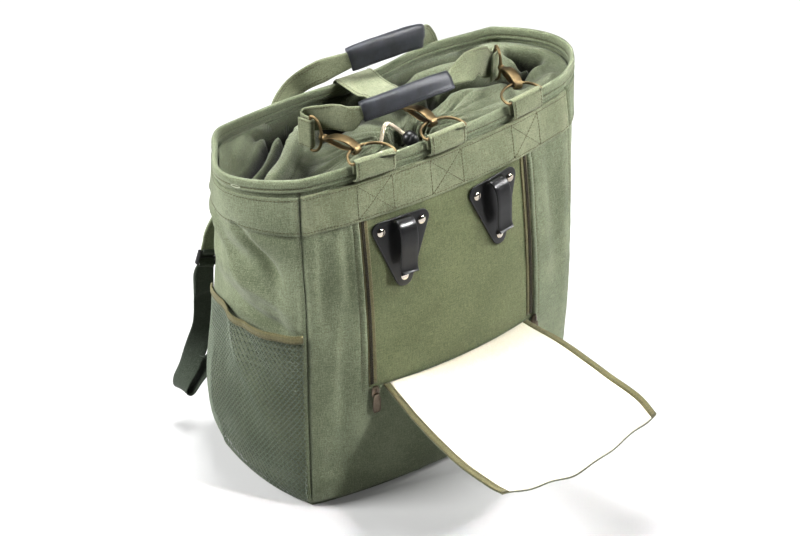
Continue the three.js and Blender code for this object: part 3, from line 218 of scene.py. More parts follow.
def moulded(name, dark, light, low, high):
    """Smooth black plate or plastic with a faint mottle."""
    paint = Paint(name, {"Roughness": low, "Coat Weight": 0.15})
    mottle = paint.noise(240.0, 4.0)
    paint.tint(mottle, (0.3, dark), (0.8, light))
    paint.rough(mottle, low, high)
    paint.bump(paint.noise(900.0), 0.08, 0.0004)
    return paint.material


PAINTS = {
    "canvas": cloth("canvas", "59604a", "8b927a"),
    # The collar is the canvas painted a little darker as painted shade in the mouth, and painted darker still
    # low in its hollow
    "collar": cloth("collar", "535945", "828872", painted_hollow_shade=("16180f", 0.389, 0.357)),
    "hook_cloth": cloth("hook_cloth", "585e43", "7f8564"),
    "webbing": cloth("webbing", "676c53", "949980", thread=0.9),
    "mesh": cloth("mesh", "565f50", "8b9583", thread=0.5, roughness=0.5),
    "binding": cloth("binding", "59563c", "7d7859", thread=0.8),
    "lining": cloth("lining", "cfc9b8", "dfdacb", thread=0.8, depth=0.12, sheen=0.0, roughness=0.55),
    "leather": hide("leather", "26282c", "3d4047"),
    "plate": moulded("plate", "0d0d0e", "161618", 0.32, 0.44),
    "plastic": moulded("plastic", "101112", "1c1d1f", 0.32, 0.5),
    "nickel": metal("nickel", "b9afa3", "e0d8cd", 0.12, 0.24, 0.05),
    "brass": metal("brass", "3b3224", "87775a", 0.36, 0.56),
    "copper": metal("copper", "453e36", "7d7264", 0.28, 0.44),
    "zip": cloth("zip", "2a261b", "49432f", thread=0.7, roughness=0.55),
    "dark_webbing": cloth("dark_webbing", "31372e", "4d554a", thread=0.9),
    "cord": cloth("cord", "d5c6ae", "eee4d2", thread=1.3, depth=0.6),
    "thread": cloth("thread", "45442e", "666447", thread=0.4, roughness=0.7),
    "pale_thread": cloth("pale_thread", "8f9580", "b4b9a4", thread=0.4, roughness=0.7),
    "dark_thread": cloth("dark_thread", "15151a", "2a2a30", thread=0.4, roughness=0.6),
}

# Slots of the paints that the record doesn't name
SLOTS = {
    "collar": "canvas", "thread": "webbing", "pale_thread": "webbing", "dark_thread": "leather",
    "copper": "brass",
}

# Sums used all over


def columns(names, *rows):
    """Rows of numbers under named columns, as one array for each column."""
    return dict(zip(names.split(), np.array(rows, float).T))


def vec(x, y, z):
    return np.array([x, y, z], float)


UP = vec(0, 0, 1)


def unit(v):
    return v / np.maximum(np.linalg.norm(v, axis=-1, keepdims=True), 1e-12)


def clamp(t):
    return np.clip(t, 0, 1)


def alike(*values):
    """Arrays of one shape from values that may be single numbers."""
    return [np.asarray(v, float) for v in np.broadcast_arrays(*values)]


def near(x, wide):
    """A soft bump of height 1 about zero."""
    return np.exp(-(x / wide) ** 2)


def between(x, low, high):
    """A smooth climb from 0 at the low end to 1 at the high end."""
    t = clamp((x - low) / (high - low))
    return t * t * (3 - 2 * t)


def ridges(x, rows):
    """Soft bumps given as rows of place, width and height, added up."""
    return sum(high * near(x - at, wide) for at, wide, high in rows)


def crease(x, y, x0, y0, x1, y1, wide):
    """A soft bump along the line between two points, and each place's share of the way along it."""
    ax, ay = x1 - x0, y1 - y0
    t = clamp(((x - x0) * ax + (y - y0) * ay) / (ax * ax + ay * ay))
    return near(np.hypot(x - x0 - t * ax, y - y0 - t * ay), wide), t


def hermite(t, start, stop, leave, arrive):
    """A smooth way from start to stop with given slopes at its ends."""
    return ((1 + 2 * t) * (1 - t) ** 2 * start + t * (1 - t) ** 2 * leave
            + t * t * (3 - 2 * t) * stop + t * t * (t - 1) * arrive)


def smooth(rows, steps):
    """Points on one curve through the rows."""
    rows = np.asarray(rows, float)
    ends = np.vstack([2 * rows[0] - rows[1], rows, 2 * rows[-1] - rows[-2]])
    t = np.linspace(0, 1, steps, endpoint=False)[:, None]
    parts = [hermite(t, start, stop, (stop - before) / 2, (after - start) / 2)
             for before, start, stop, after in zip(ends[:-3], ends[1:-2], ends[2:-1], ends[3:])]
    return np.vstack(parts + [rows[-1:]])


def ease(rows, at):
    """Smooth values of a table's columns at places between the rows of its first column."""
    first, *others = rows
    x = rows[first]
    at = np.clip(at, x[0], x[-1])
    i = np.clip(np.searchsorted(x, at) - 1, 0, len(x) - 2)
    span = x[i + 1] - x[i]
    t = (at - x[i]) / span
    values = {}
    for name in others:
        y = rows[name]
        step = np.diff(y) / np.diff(x)
        slope = np.concatenate([step[:1], (y[2:] - y[:-2]) / (x[2:] - x[:-2]), step[-1:]])
        values[name] = hermite(t, y[i], y[i + 1], span * slope[i], span * slope[i + 1])
    return values


def noise(x, y, seed):
    """Smooth seeded bumps about one unit across, from -1 to 1."""
    size = 64
    lattice = np.random.default_rng(seed).uniform(-1, 1, (size, size))
    i, j = np.floor(x).astype(int), np.floor(y).astype(int)
    fx, fy = between(x - i, 0, 1), between(y - j, 0, 1)

    def row(k):
        return lattice[i % size, k % size] * (1 - fx) + lattice[(i + 1) % size, k % size] * fx

    return row(j) * (1 - fy) + row(j + 1) * fy


def fill(stops, step):
    """Places through all the stops, no further apart than a step."""
    parts = []
    for a, b in zip(stops[:-1], stops[1:]):
        count = max(1, int(math.ceil(abs(b - a) / step)))
        parts.append(np.linspace(a, b, count, endpoint=False))
    return np.concatenate(parts + [np.array(stops[-1:], float)])


def mirrored(ends):
    """Places near both ends of a span from 0 to 1."""
    return ends + [1 - e for e in ends[::-1]]


def circle(count):
    return np.linspace(0, 2 * np.pi, count, endpoint=False)


def lengths(points):
    """Distance along each row of points from the row's first point."""
    steps = np.linalg.norm(np.diff(points, axis=-2), axis=-1)
    return np.concatenate([np.zeros(steps.shape[:-1] + (1,)), np.cumsum(steps, -1)], -1)


def headings(points, closed=False):
    if closed:
        return unit(np.roll(points, -1, 0) - np.roll(points, 1, 0))
    return unit(np.gradient(points, axis=0))


def frames(at, side):
    """Ways along, across and out of a strap at its stations."""
    along = headings(at)
    side = unit(side - along * (side * along).sum(-1, keepdims=True))
    return along, side, np.cross(along, side)


def framed(origin, right, up, out):
    """A function that gives points from a part's own right, up and outward lengths."""
    def at(*own):
        ways = zip(alike(*own), (right, up, out))
        return origin + sum(np.multiply.outer(length, way) for length, way in ways)
    return at


# Blocks of mesh, and pieces made of them


def block(verts, faces, uv, caps=()):
    return {
        "verts": np.asarray(verts, float).reshape(-1, 3),
        "faces": np.asarray(faces, int).reshape(-1, 4),
        "uv": np.asarray(uv, float).reshape(-1, 2),
        "caps": [list(map(int, cap)) for cap in caps],
    }


def piece(name, blocks, paint, node=None, body="bag", sharp=None):
    """One object of several blocks, painted, riding on a body and standing for its solid."""
    faces, start = [], 0
    for b in blocks:
        faces += (b["faces"] + start).tolist() + [[i + start for i in cap] for cap in b["caps"]]
        start += len(b["verts"])
    verts, uvs = (np.vstack([b[key] for b in blocks]) for key in ("verts", "uv"))
    used, flat = np.unique(np.concatenate(faces), return_inverse=True)
    ends = np.cumsum([len(f) for f in faces])
    faces = [f.tolist() for f in np.split(flat, ends[:-1])]
    mesh = bpy.data.meshes.new(name)
    mesh.from_pydata((verts[used] * MM).tolist(), [], faces)
    layer = mesh.uv_layers.new(name="cloth_mm")
    layer.data.foreach_set("uv", uvs[used][flat].astype(np.float32).ravel())
    mesh.polygons.foreach_set("use_smooth", np.ones(len(faces), bool))
    if sharp is not None:
        mesh.set_sharp_from_angle(angle=math.radians(sharp))
    mesh.materials.append(PAINTS[paint])
    made = add(name, mesh)
    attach(made, body)
    SLOTS.get(paint, paint)
    if node:
        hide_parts(node)
    return made


def cells(rows, cols, closed_rows=False, closed_cols=False):
    """Corner numbers of the cells of a grid."""
    index = np.arange(rows * cols).reshape(rows, cols)
    if closed_rows:
        index = np.vstack([index, index[:1]])
    if closed_cols:
        index = np.hstack([index, index[:, :1]])
    return np.stack([index[:-1, :-1], index[:-1, 1:], index[1:, 1:], index[1:, :-1]], -1)


def grid_uv(points):
    across = lengths(points)
    along = np.swapaxes(lengths(np.swapaxes(points, 0, 1)), 0, 1)
    return np.stack([across - across.mean(1, keepdims=True), along], -1)


def shell(at, u, v, outer, inner, keep=None):
    """Cloth between two offsets from a surface given by at(u, v, off), with its edges closed."""
    outer, inner = at(u, v, outer), at(u, v, inner)
    rows, cols = outer.shape[:2]
    count = rows * cols
    kept = np.ones((rows - 1, cols - 1), bool) if keep is None else keep
    corners = cells(rows, cols)
    a, b, c, d = np.moveaxis(corners, -1, 0)
    beside = np.pad(kept, 1)

    def wall(next_cell, p, q):
        mask = kept & ~next_cell
        return np.stack([q[mask], p[mask], p[mask] + count, q[mask] + count], -1)

    faces = [
        corners[kept], corners[kept][:, ::-1] + count,
        wall(beside[:-2, 1:-1], a, b), wall(beside[1:-1, 2:], b, c),
        wall(beside[2:, 1:-1], c, d), wall(beside[1:-1, :-2], d, a),
    ]
    uv = grid_uv(outer).reshape(-1, 2)
    verts = np.concatenate([outer.reshape(-1, 3), inner.reshape(-1, 3)])
    return block(verts, np.vstack(faces), np.concatenate([uv, uv]))


def loft(rings, closed=False):
    """Skin through a row of like closed outlines, capped unless the row closes on itself."""
    rings = np.asarray(rings)
    count, sides = rings.shape[:2]
    first = np.arange(sides)
    caps = () if closed else (first[::-1], first + (count - 1) * sides)
    return block(rings, cells(count, sides, closed, True), grid_uv(rings), caps)


def ribbon(at, side, half, thick, pillow=0.0, across=9):
    """Flat strap with rounded edges along stations."""
    half, thick = np.broadcast_to(half, len(at)), np.broadcast_to(thick, len(at))
    side, face = frames(at, side)[1:]
    turn = np.linspace(-np.pi / 2, np.pi / 2, 5)
    flat = np.linspace(-1, 1, across)[1:-1]
    rings = []
    for p, s, f, h, t in zip(at, side, face, half, thick):
        core, r = h - t / 2, t / 2
        swell = r * (1 + pillow * (1 - flat ** 2))
        bend = core + r * np.cos(turn)
        a = np.concatenate([bend, flat[::-1] * core, -bend, flat * core])
        b = np.concatenate([r * np.sin(turn), swell, r * np.sin(turn[::-1]), -swell])
        rings.append(p + a[:, None] * s + b[:, None] * f)
    return loft(rings)


def tube(points, radius, sides, closed=False, normal=None):
    """Round wire or cord along points; the radius may change along it."""
    along = headings(points, closed)
    if normal is not None:
        wide = unit(np.cross(along, normal))
        other = np.broadcast_to(normal, wide.shape)
    else:
        wide = [UP]
        for a in along:
            wide.append(unit(wide[-1] - a * (wide[-1] @ a)))
        wide = np.array(wide[1:])
        other = np.cross(along, wide)
    angle = circle(sides)[None, :, None]
    r = np.broadcast_to(radius, len(points))[:, None, None]
    rings = points[:, None] + r * np.cos(angle) * wide[:, None] + r * np.sin(angle) * other[:, None]
    return loft(rings, closed)


def turned(origin, axis, along, radius, sides):
    """Body of revolution about an axis."""
    spin = vec(1, 0, 0) if abs(axis[2]) > 0.9 else unit(np.cross(UP, axis))
    angle = circle(sides)[None, :, None]
    rim = np.cos(angle) * spin + np.sin(angle) * np.cross(axis, spin)
    along, radius = (np.asarray(v)[:, None, None] for v in (along, radius))
    return loft(origin + along * axis + radius * rim)


# Outline of one stitch or tooth: places along it, and its roundness and sink there
BEAD = columns("along round sink", (-1, 0.3, -0.75), (-0.62, 1, 0), (0.62, 1, 0), (1, 0.3, -0.75))
BEAD_SIDES = 5


def beads(centres, along, up, length, radius):
    """Many short rounded bars: stitches, or the teeth of a zip."""
    along, up = (np.broadcast_to(way, centres.shape) for way in (along, up))
    angle = circle(BEAD_SIDES)
    a = np.repeat(BEAD["along"], BEAD_SIDES) * length / 2
    sink = np.repeat(BEAD["sink"], BEAD_SIDES)
    b = (np.outer(BEAD["round"], np.cos(angle)).ravel() + sink) * radius
    c = np.outer(BEAD["round"], np.sin(angle)).ravel() * radius
    ways = ((a, along), (b, up), (c, np.cross(along, up)))
    verts = centres[:, None] + sum(length[:, None] * way[:, None] for length, way in ways)
    one = cells(len(BEAD["along"]), BEAD_SIDES, closed_cols=True).reshape(-1, 4)
    faces = one + (np.arange(len(centres)) * len(a))[:, None, None]
    return block(verts, faces, np.tile(np.stack([a, c], -1), (len(centres), 1)))


# Pitch, length and radius of stitches
STITCH = (3.4, 2.9, 0.4)
LEATHER_STITCH = (3.0, 2.3, 0.33)


def stitches(points, normals, gauge=STITCH):
    """A row of stitches along a line on cloth."""
    pitch, length, radius = gauge
    s = lengths(points)
    at = np.arange(pitch / 2, s[-1], pitch)

    def along(values):
        return np.stack([np.interp(at, s, values[:, i]) for i in range(3)], -1)

    up = unit(along(np.broadcast_to(normals, points.shape)))
    way = unit(along(headings(points)))
    way = unit(way - up * (way * up).sum(-1, keepdims=True))
    return beads(along(points) + up * radius * 0.35, way, up, length, radius)


def sew(at, u, v, lift):
    """Stitches along places on a surface given by at(u, v, off)."""
    u, v, off = alike(u, v, lift)
    points = at(u, v, off)
    return stitches(points, unit(at(u, v, off + 1.0) - points))


# Drawstring loop standing out of the collar, its points in metres
CORD_DIAMETER = 0.004
CORD_ROUTE = np.array([
    (-0.0530, -0.0430, 0.3724), (-0.0534, -0.0440, 0.3775), (-0.0538, -0.0450, 0.3820),
    (-0.0540, -0.0458, 0.3866), (-0.0539, -0.0464, 0.3912), (-0.0533, -0.0466, 0.3958),
    (-0.0520, -0.0460, 0.4002), (-0.0498, -0.0446, 0.4042), (-0.0468, -0.0426, 0.4070),
    (-0.0434, -0.0410, 0.4082), (-0.0402, -0.0414, 0.4076), (-0.0374, -0.0440, 0.4058),
    (-0.0352, -0.0474, 0.4036), (-0.0332, -0.0510, 0.4014), (-0.0315, -0.0545, 0.3995),
])
BRAID_PITCH = 3.2
BRAID_DEPTH = 0.035
LOCK_ROWS = columns(
    "along radius", (0.4, 3.6), (0.9, 4.6), (1.8, 5.8), (3.4, 6.8), (6, 7.4), (8.4, 7.6), (8.9, 7.2),
    (9.4, 7.5), (12, 6.8), (14, 5.6), (15.2, 4.4), (15.8, 3.2), (16, 2.0))


def make_cord():
    line = smooth(CORD_ROUTE, 6) / MM
    lay = lengths(line)
    braid = 1 + BRAID_DEPTH * np.sin(lay * 2 * np.pi / BRAID_PITCH)
    rope = piece("drawstring_cord", [tube(line, CORD_DIAMETER / MM / 2 * braid, 14)], "cord", "drawstring")
    lock = turned(line[-1], headings(line)[-1], LOCK_ROWS["along"], LOCK_ROWS["radius"], 32)
    stopper = piece("cord_stopper", [lock], "plastic", "cord_lock", sharp=50)


make_cord()

# The body's four sides: seam corners by height, and how far the cloth swells between them
CORNERS = columns(
    "z shift half front back flare skew",
    (0, -2, 165, -73, 104, 2, 0), (12, -1, 171, -80, 111, 4, 0), (60, 2, 176, -83, 112, 4, 0),
    (150, 4.5, 177.5, -82, 105, 2, 0), (240, 6, 176, -79, 93, 2, 2), (340, 6.5, 174.5, -70, 79, 5, 5),
    (384, 7.5, 172.5, -63, 74, 8, 7), (400, 8, 171, -60, 73, 9, 8))
SWELLS = columns(
    "z fore rear sides dip",
    (0, 20, 8, 12, 1), (12, 26, 10, 17, 2), (60, 29, 12, 22, 3.5), (150, 28, 13, 22, 4),
    (240, 24, 12, 26, 4), (340, 20, 10, 38, 3), (384, 17, 8, 45, 2), (400, 17, 7, 48, 1))
FRONT, RIGHT, BACK, LEFT = range(4)
SWELL = ("fore", "sides", "rear", "sides")
SIDE_WIDE = (352, 190, 358, 190)
SEAM_REACH = 9
MITRE_REACH = 4
DENT_CLEAR = 18
DENTS = columns(
    "side u z wide tall depth",
    (LEFT, 0.5, 302, 60, 15, 6), (LEFT, 0.45, 268, 55, 14, -4), (LEFT, 0.3, 236, 40, 13, 5),
    (LEFT, 0.82, 262, 10, 50, 3), (RIGHT, 0.5, 296, 60, 16, 6), (RIGHT, 0.4, 200, 45, 20, 5),
    (FRONT, 0.07, 285, 9, 60, 3), (FRONT, 0.105, 165, 9, 70, 2.5), (FRONT, 0.1, 70, 26, 34, 4),
    (FRONT, 0.92, 240, 10, 70, 3), (BACK, 0.5, 150, 90, 60, 5),
    (BACK, 0.5, 405, 60, 40, 9), (BACK, 0.24, 405, 44, 40, -6), (LEFT, 0.2, 405, 32, 50, 10))

# Finer folds over them: each a soft valley along a line, or a ridge where its depth is below zero
FOLDS = columns(
    "side u0 z0 u1 z1 wide depth",
    (LEFT, 0.3, 332, 0.66, 262, 9, -7), (LEFT, 0.6, 338, 0.84, 288, 7, 8),
    (LEFT, 0.2, 302, 0.42, 238, 10, 5), (LEFT, 0.44, 238, 0.9, 226, 8, 6),
    (LEFT, 0.12, 338, 0.24, 300, 9, -4), (LEFT, 0.55, 286, 0.9, 250, 8, -5),
    (RIGHT, 0.3, 334, 0.62, 250, 10, -4), (RIGHT, 0.6, 330, 0.74, 240, 9, 4),
    (RIGHT, 0.2, 210, 0.62, 120, 12, 3), (FRONT, 0.128, 334, 0.132, 256, 6, 2.6),
    (FRONT, 0.045, 338, 0.05, 240, 6, 2.6), (FRONT, 0.09, 320, 0.085, 150, 8, -1.6),
    (FRONT, 0.88, 334, 0.9, 190, 8, 2.2), (FRONT, 0.86, 120, 0.93, 40, 12, 2.6),
    (FRONT, 0.03, 60, 0.2, 30, 10, 2), (BACK, 0.2, 330, 0.36, 190, 14, 3),
    (BACK, 0.82, 320, 0.66, 200, 14, -3), (BACK, 0.4, 90, 0.7, 60, 14, 3))
FOLD_CLEAR = 14

# Heights up the body, the window between the zips, and the thickness of cloth
FOOT = 2.85
HINGE_Z = 146
BAND_LOW = 341
WINDOW_TOP = BAND_LOW
BAND_TOP = 383
WALL_TOP = 386.6
RIM_LOW = 387
RIM_SEAM = 391.4
RIM_TOP = 400
ZIP_LEFT = 0.182
ZIP_RIGHT = 0.8
ZIP_WIDE = 0.026
FRONT_LEAN = 0.016
GAP = 0.35
CANVAS = 2
WEBBING = 1.8
HOOK_OUT = -CANVAS - GAP - 0.15

# Places of the rack hooks, as x, z and turn, and of the loops along the rim
HOOKS = {"left": (-62.5, 294.5, 0.0), "right": (58, 296.5, 0.07)}
HOOK_CALM = 44
LOOP_X = {"left": -88, "mid": -3, "right": 106}

# Sewn lines that pucker the cloth, and how strongly
PUCKERS = ((BAND_LOW, 0.55), (BAND_TOP, 0.3), (FOOT + 8, 0.6))

# Rows of place, width and height: the tuck under the band, the cloth beside a seam, the calm along the rim
BAND_TUCK = ((BAND_LOW - 3.5, 4.5, 1.3),)
SEAM_RIDGE = ((5, 2.8, 0.9), (0, 1.8, -1.6))
RIM_CALM = ((392, 16, 0.85),)


def section(z):
    return {**ease(CORNERS, z), **ease(SWELLS, z)}


def outward(d):
    return unit(np.stack([d[..., 1], -d[..., 0]], -1))


def corner(s, k):
    way = 1 if k in (1, 2) else -1
    wide = s["half"] if k < 2 else s["half"] + s["flare"]
    return np.stack([s["shift"] + way * wide, (s["front"] if k < 2 else s["back"]) + way * s["skew"]], -1)


def side_span(s, side):
    """Straight way between a side's two corners."""
    return corner(s, (side + 1) % 4) - corner(s, side)


def mitre(s, k):
    """Way in which a seam corner is offset so that both of its sides stay parallel to themselves."""
    def edge(side, way):
        d = side_span(s, side)
        return outward(d + outward(d) * (4 * way * s[SWELL[side]])[..., None])
    a, b = edge(k, 1), edge((k + 3) % 4, -1)
    return (a + b) / (1 + (a * b).sum(-1, keepdims=True))


def near_mitre(s, side, u):
    return np.where((u < 0.5)[..., None], mitre(s, side), mitre(s, (side + 1) % 4))


def face_point(side, u, z, s):
    d = side_span(s, side)
    wide = np.linalg.norm(d, axis=-1)
    reach = np.minimum(u, 1 - u) * wide
    out = s[SWELL[side]] * 4 * u * (1 - u)
    clear = 1 - near(reach, DENT_CLEAR)
    for of, du, dz, dw, dt, depth in zip(*DENTS.values()):
        if of == side:
            out = out - depth * clear * near((u - du) * wide, dw) * near(z - dz, dt)
    sink = s["dip"] * near(reach, SEAM_REACH)
    flat = corner(s, side) + d * u[..., None]
    return flat + outward(d) * out[..., None] - near_mitre(s, side, u) * sink[..., None]


def body_point(side, u, z, off):
    """Point at an offset outward from a side's face."""
    u, z, off = alike(u, z, off)
    s = section(z)
    step = 0.004
    after, before = np.minimum(u + step, 1), np.maximum(u - step, 0)
    own = outward(face_point(side, after, z, s) - face_point(side, before, z, s))
    wide = np.linalg.norm(side_span(s, side), axis=-1)
    share = near(np.minimum(u, 1 - u) * wide, MITRE_REACH)[..., None]
    n = own * (1 - share) + near_mitre(s, side, u) * share
    p = face_point(side, u, z, s) + n * off[..., None]
    return np.concatenate([p, z[..., None]], -1)


def relief(side, u, z):
    """Height of folds, puckers and slow swells in the cloth of a side."""
    wide = SIDE_WIDE[side]
    x = u * wide
    reach = np.minimum(u, 1 - u) * wide
    out = 0.7 * noise(x / 46 + 9 * side, z / 52, 3) + 0.3 * noise(x / 17, z / 21 + 7 * side, 5)
    for of, u0, z0, u1, z1, width, depth in zip(*FOLDS.values()):
        if of == side:
            valley, t = crease(x, z, u0 * wide, z0, u1 * wide, z1, width)
            out = out - depth * np.sin(np.pi * (0.15 + 0.7 * t)) * valley
    for line, wave in PUCKERS:
        out = out + wave * noise(x / 8, 3.0 * side, int(line)) * near(z - line, 9)
    out = out - ridges(z, BAND_TUCK)
    beside = 0.35 * noise(z / 7, side + 0.5, 11) * near(reach - 6, 5)
    ridge = ridges(reach, SEAM_RIDGE) * (1 - 0.75 * between(z, RIM_LOW - 2, RIM_LOW + 2))
    ridge = ridge * clamp((z - 3) / 20)
    return (out * (1 - near(reach, FOLD_CLEAR)) + beside) * (1 - ridges(z, RIM_CALM)) + ridge


def skin(side, u, z, off):
    u, z, off = alike(u, z, off)
    return body_point(side, u, z, off + relief(side, u, z))


def share_at(side, x, z):
    s = section(np.asarray(z, float))
    half = s["half"] if side == FRONT else s["half"] + s["flare"]
    u = (x - s["shift"] + half) / (2 * half)
    return u if side == FRONT else 1 - u


def hook_calm(u, z):
    """Falls to nothing where the rack hooks' plates lie flat on the cloth."""
    calm = np.ones_like(u)
    for x, level, _ in HOOKS.values():
        away = np.hypot((u - share_at(FRONT, x, level)) * SIDE_WIDE[FRONT], (z - level) * 0.8)
        calm = calm * (1 - np.exp(-(away / HOOK_CALM) ** 4))
    return calm


def leaning(u, z):
    """Share along the front after its cloth leans left between the hinge and the band."""
    rise = clamp((z - HINGE_Z) / (WINDOW_TOP - HINGE_Z))
    return u - FRONT_LEAN * rise * 4 * u * (1 - u)


def front_skin(u, z, off):
    return skin(FRONT, leaning(u, z), z, off)


def ring_skin(t, z, off, at=skin):
    """Point by the way round the body, from 0 at the front left corner to 4."""
    t, z, off = alike(np.mod(t, 4.0), z, off)
    points = np.empty(t.shape + (3,))
    for side in range(4):
        on = np.floor(t) == side
        points[on] = at(side, t[on] - side, z[on], off[on])
    return points


# Body panels
SEAM = 0.0007
WALL_STOPS = [FOOT, 4, 7, 14, 30, HINGE_Z, WINDOW_TOP, BAND_TOP, WALL_TOP]
WINDOW_HEM = 6
WINDOW_FOLD = ((2.5, 2.6, 1.1), (7, 1.2, -0.6), (0, 0.7, -1.3))
FAR = 99


def front_wall(u, z, off):
    """Front panel, its cloth folded under along the window's zip edges."""
    away = np.maximum(ZIP_LEFT - u, u - ZIP_RIGHT) * SIDE_WIDE[FRONT]
    away = np.where(away > -1, np.maximum(away, 0), FAR)
    inside = np.minimum(z - HINGE_Z, WINDOW_TOP - z) + WINDOW_HEM
    fold = ridges(away, WINDOW_FOLD) * clamp(inside / WINDOW_HEM)
    return front_skin(u, z, off + np.where(off > -1, fold, 0))


def make_panels():
    seam = [SEAM, 0.003, 0.008, 0.02, 0.05]
    hems = (0.024, 0.012, 0.004, 0)
    left, right = [ZIP_LEFT - h for h in hems], [ZIP_RIGHT + h for h in hems[::-1]]
    stops = seam + left + right + [1 - u for u in seam[::-1]]
    parts = [fill(stops, 0.007), fill(seam[-1:] + left[:-1], 0.002), fill(right, 0.002)]
    us = np.unique(np.concatenate(parts))
    zs = fill(WALL_STOPS, 3.2)
    u, z = np.meshgrid((us[:-1] + us[1:]) / 2, (zs[:-1] + zs[1:]) / 2)
    keep = (z <= HINGE_Z) | (z >= WINDOW_TOP) | (u <= ZIP_LEFT) | (u >= ZIP_RIGHT)
    panel = shell(front_wall, *np.meshgrid(us, zs), 0.0, -CANVAS, keep)
    piece("front_cloth", [panel], "canvas", "front_panel")
    for side, name, node, seam, step in (
            (RIGHT, "right_cloth", "right_gusset", 2 * SEAM, 0.013),
            (BACK, "back_cloth", "back_panel", SEAM, 0.012),
            (LEFT, "left_cloth", "left_gusset", 2 * SEAM, 0.013)):
        def at(u, z, off, side=side):
            return skin(side, u, z, off)
        us = fill(mirrored([seam, 0.008, 0.02, 0.06]), step)
        piece(name, [shell(at, *np.meshgrid(us, fill(WALL_STOPS, 3.4)), 0.0, -CANVAS)], "canvas", node)


def make_base():
    """Flat foot with a turned-up edge."""
    t = np.linspace(0, 4, 240, endpoint=False)
    rings = []
    for off, z in ((-3.0, 0), (-1.2, 0), (-0.6, 0.9), (-0.8, 2.0), (-1.8, 2.5)):
        rings.append(ring_skin(t, FOOT, off, body_point))
        rings[-1][:, 2] = z
    piece("base_cloth", [loft(rings)], "canvas", "base_panel")


def make_hook_panel():
    lap = 0.012
    us, zs = fill([ZIP_LEFT - lap, ZIP_RIGHT + lap], 0.008), fill([HINGE_Z - 5, WINDOW_TOP + 10], 3.4)

    def at(u, z, off):
        lean = leaning(u, z)
        pad = 0.5 * noise(u * 9, z / 38, 21) + 0.6 * relief(FRONT, lean, z)
        return body_point(FRONT, lean, z, off + pad * hook_calm(lean, z))

    panel = shell(at, *np.meshgrid(us, zs), HOOK_OUT, HOOK_OUT - CANVAS)
    piece("hook_panel_cloth", [panel], "hook_cloth", "hook_panel")


make_panels()
make_base()
make_hook_panel()

# Rolled rim, and the bar tack in its seam at the left
RIM_OUTLINE = columns(
    "off z", (-3.2, 387), (-1, 386.9), (1.2, 387), (2.2, 387.6), (2.4, 389.2), (2.3, 390.6), (1.5, 391.4),
    (2.3, 392.2), (2.5, 393.6), (2.4, 396.6), (1.8, 398.9), (0.8, 399.9), (-0.8, 400), (-2, 399.3),
    (-2.8, 397.4), (-3.1, 394), (-3.1, 392.6), (-2.3, 391.6), (-3.1, 390.6), (-3.3, 389))
INNER_SEAM = 391.6
BARTACK = {"t": 3.67, "z": 391, "half": 0.03, "tall": 1.3, "off": 2.3, "radius": 0.5}


def make_rim():
    t = np.concatenate([side + fill([0, 0.01, 0.03, 0.97, 0.99, 1], 0.012)[:-1] for side in range(4)])
    slow = 0.35 * noise(t * 9, 0.5, 31) + 0.2 * noise(t * 30, 0.5, 32)
    rings = [ring_skin(t, z, off * (1 + 0.12 * slow)) for off, z in zip(*RIM_OUTLINE.values())]
    piece("rim_roll", [loft(np.stack(rings, 1), closed=True)], "canvas", "rim_hem")
    line = np.linspace(0, 4, 1600)
    inside = ring_skin(line, INNER_SEAM, -2.5)
    inner = stitches(inside, unit(inside - ring_skin(line, INNER_SEAM, -1.0)))
    piece("rim_stitching", [sew(ring_skin, line, RIM_SEAM, 1.85), inner], "thread")
    turn = circle(40)
    across, rise = BARTACK["half"] * np.cos(turn), BARTACK["tall"] * np.sin(turn)
    tack = ring_skin(BARTACK["t"] + across, BARTACK["z"] + rise, BARTACK["off"])
    piece("rim_bartack", [tube(tack, BARTACK["radius"], 8, True)], "pale_thread")


# Band sewn round below the rim
BAND_END = 0.0012
BAND_TALL = BAND_TOP - BAND_LOW
BAND_EDGE = [0, 0.5, 1.2, 2.4]
BAND_ROWS = BAND_EDGE + [4, 6, 12, 20, 30, 36, 38] + [BAND_TALL - e for e in BAND_EDGE[::-1]]
SEAM_INSET = 4
BAND_SINK = ((0, 0.7, 1.1), (SEAM_INSET, 1.1, 0.35))
CROSS_HALF = 20


def band_grid(cols, at):
    """Band cloth whose edges round over onto the wall, and sink a little at their stitching."""
    u, rise = np.meshgrid(cols, BAND_ROWS)
    edge = np.minimum(rise, BAND_TALL - rise)
    return shell(at, u, BAND_LOW + rise, GAP + WEBBING - ridges(edge, BAND_SINK), GAP)


def make_bands():
    cols = fill(mirrored([BAND_END, 0.004, 0.02]), 0.006)
    piece("front_band_cloth", [band_grid(cols, front_skin)], "webbing", "front_band")
    ends = (2 * BAND_END, 0.01, 0.05)
    around = [RIGHT + e for e in ends] + [BACK, LEFT] + [4 - e for e in ends[::-1]]
    piece("back_band_cloth", [band_grid(fill(around, 0.013), ring_skin)], "canvas", "back_band")
    lift = GAP + WEBBING - 0.3
    low, high = BAND_LOW + SEAM_INSET, BAND_TOP - SEAM_INSET
    rows = []
    for z in (low, high):
        rows.append(sew(front_skin, np.linspace(0.006, 0.994, 500), z, lift))
        rows.append(sew(ring_skin, np.linspace(RIGHT + 0.01, 4 - 0.01, 1200), z, lift))
    part = np.linspace(0, 1, 60)
    for x in LOOP_X.values():
        left, right = (share_at(FRONT, x + d, (BAND_LOW + BAND_TOP) / 2) for d in (-CROSS_HALF, CROSS_HALF))
        for u0, z0, u1, z1 in ((left, low, left, high), (right, low, right, high),
                               (left, low, right, high), (left, high, right, low)):
            u, z = u0 + (u1 - u0) * part, z0 + (z1 - z0) * part
            rows.append(sew(front_skin, u + FRONT_LEAN * 4 * u * (1 - u), z, lift + 0.25))
    piece("band_stitching", rows, "thread")


make_rim()
make_bands()

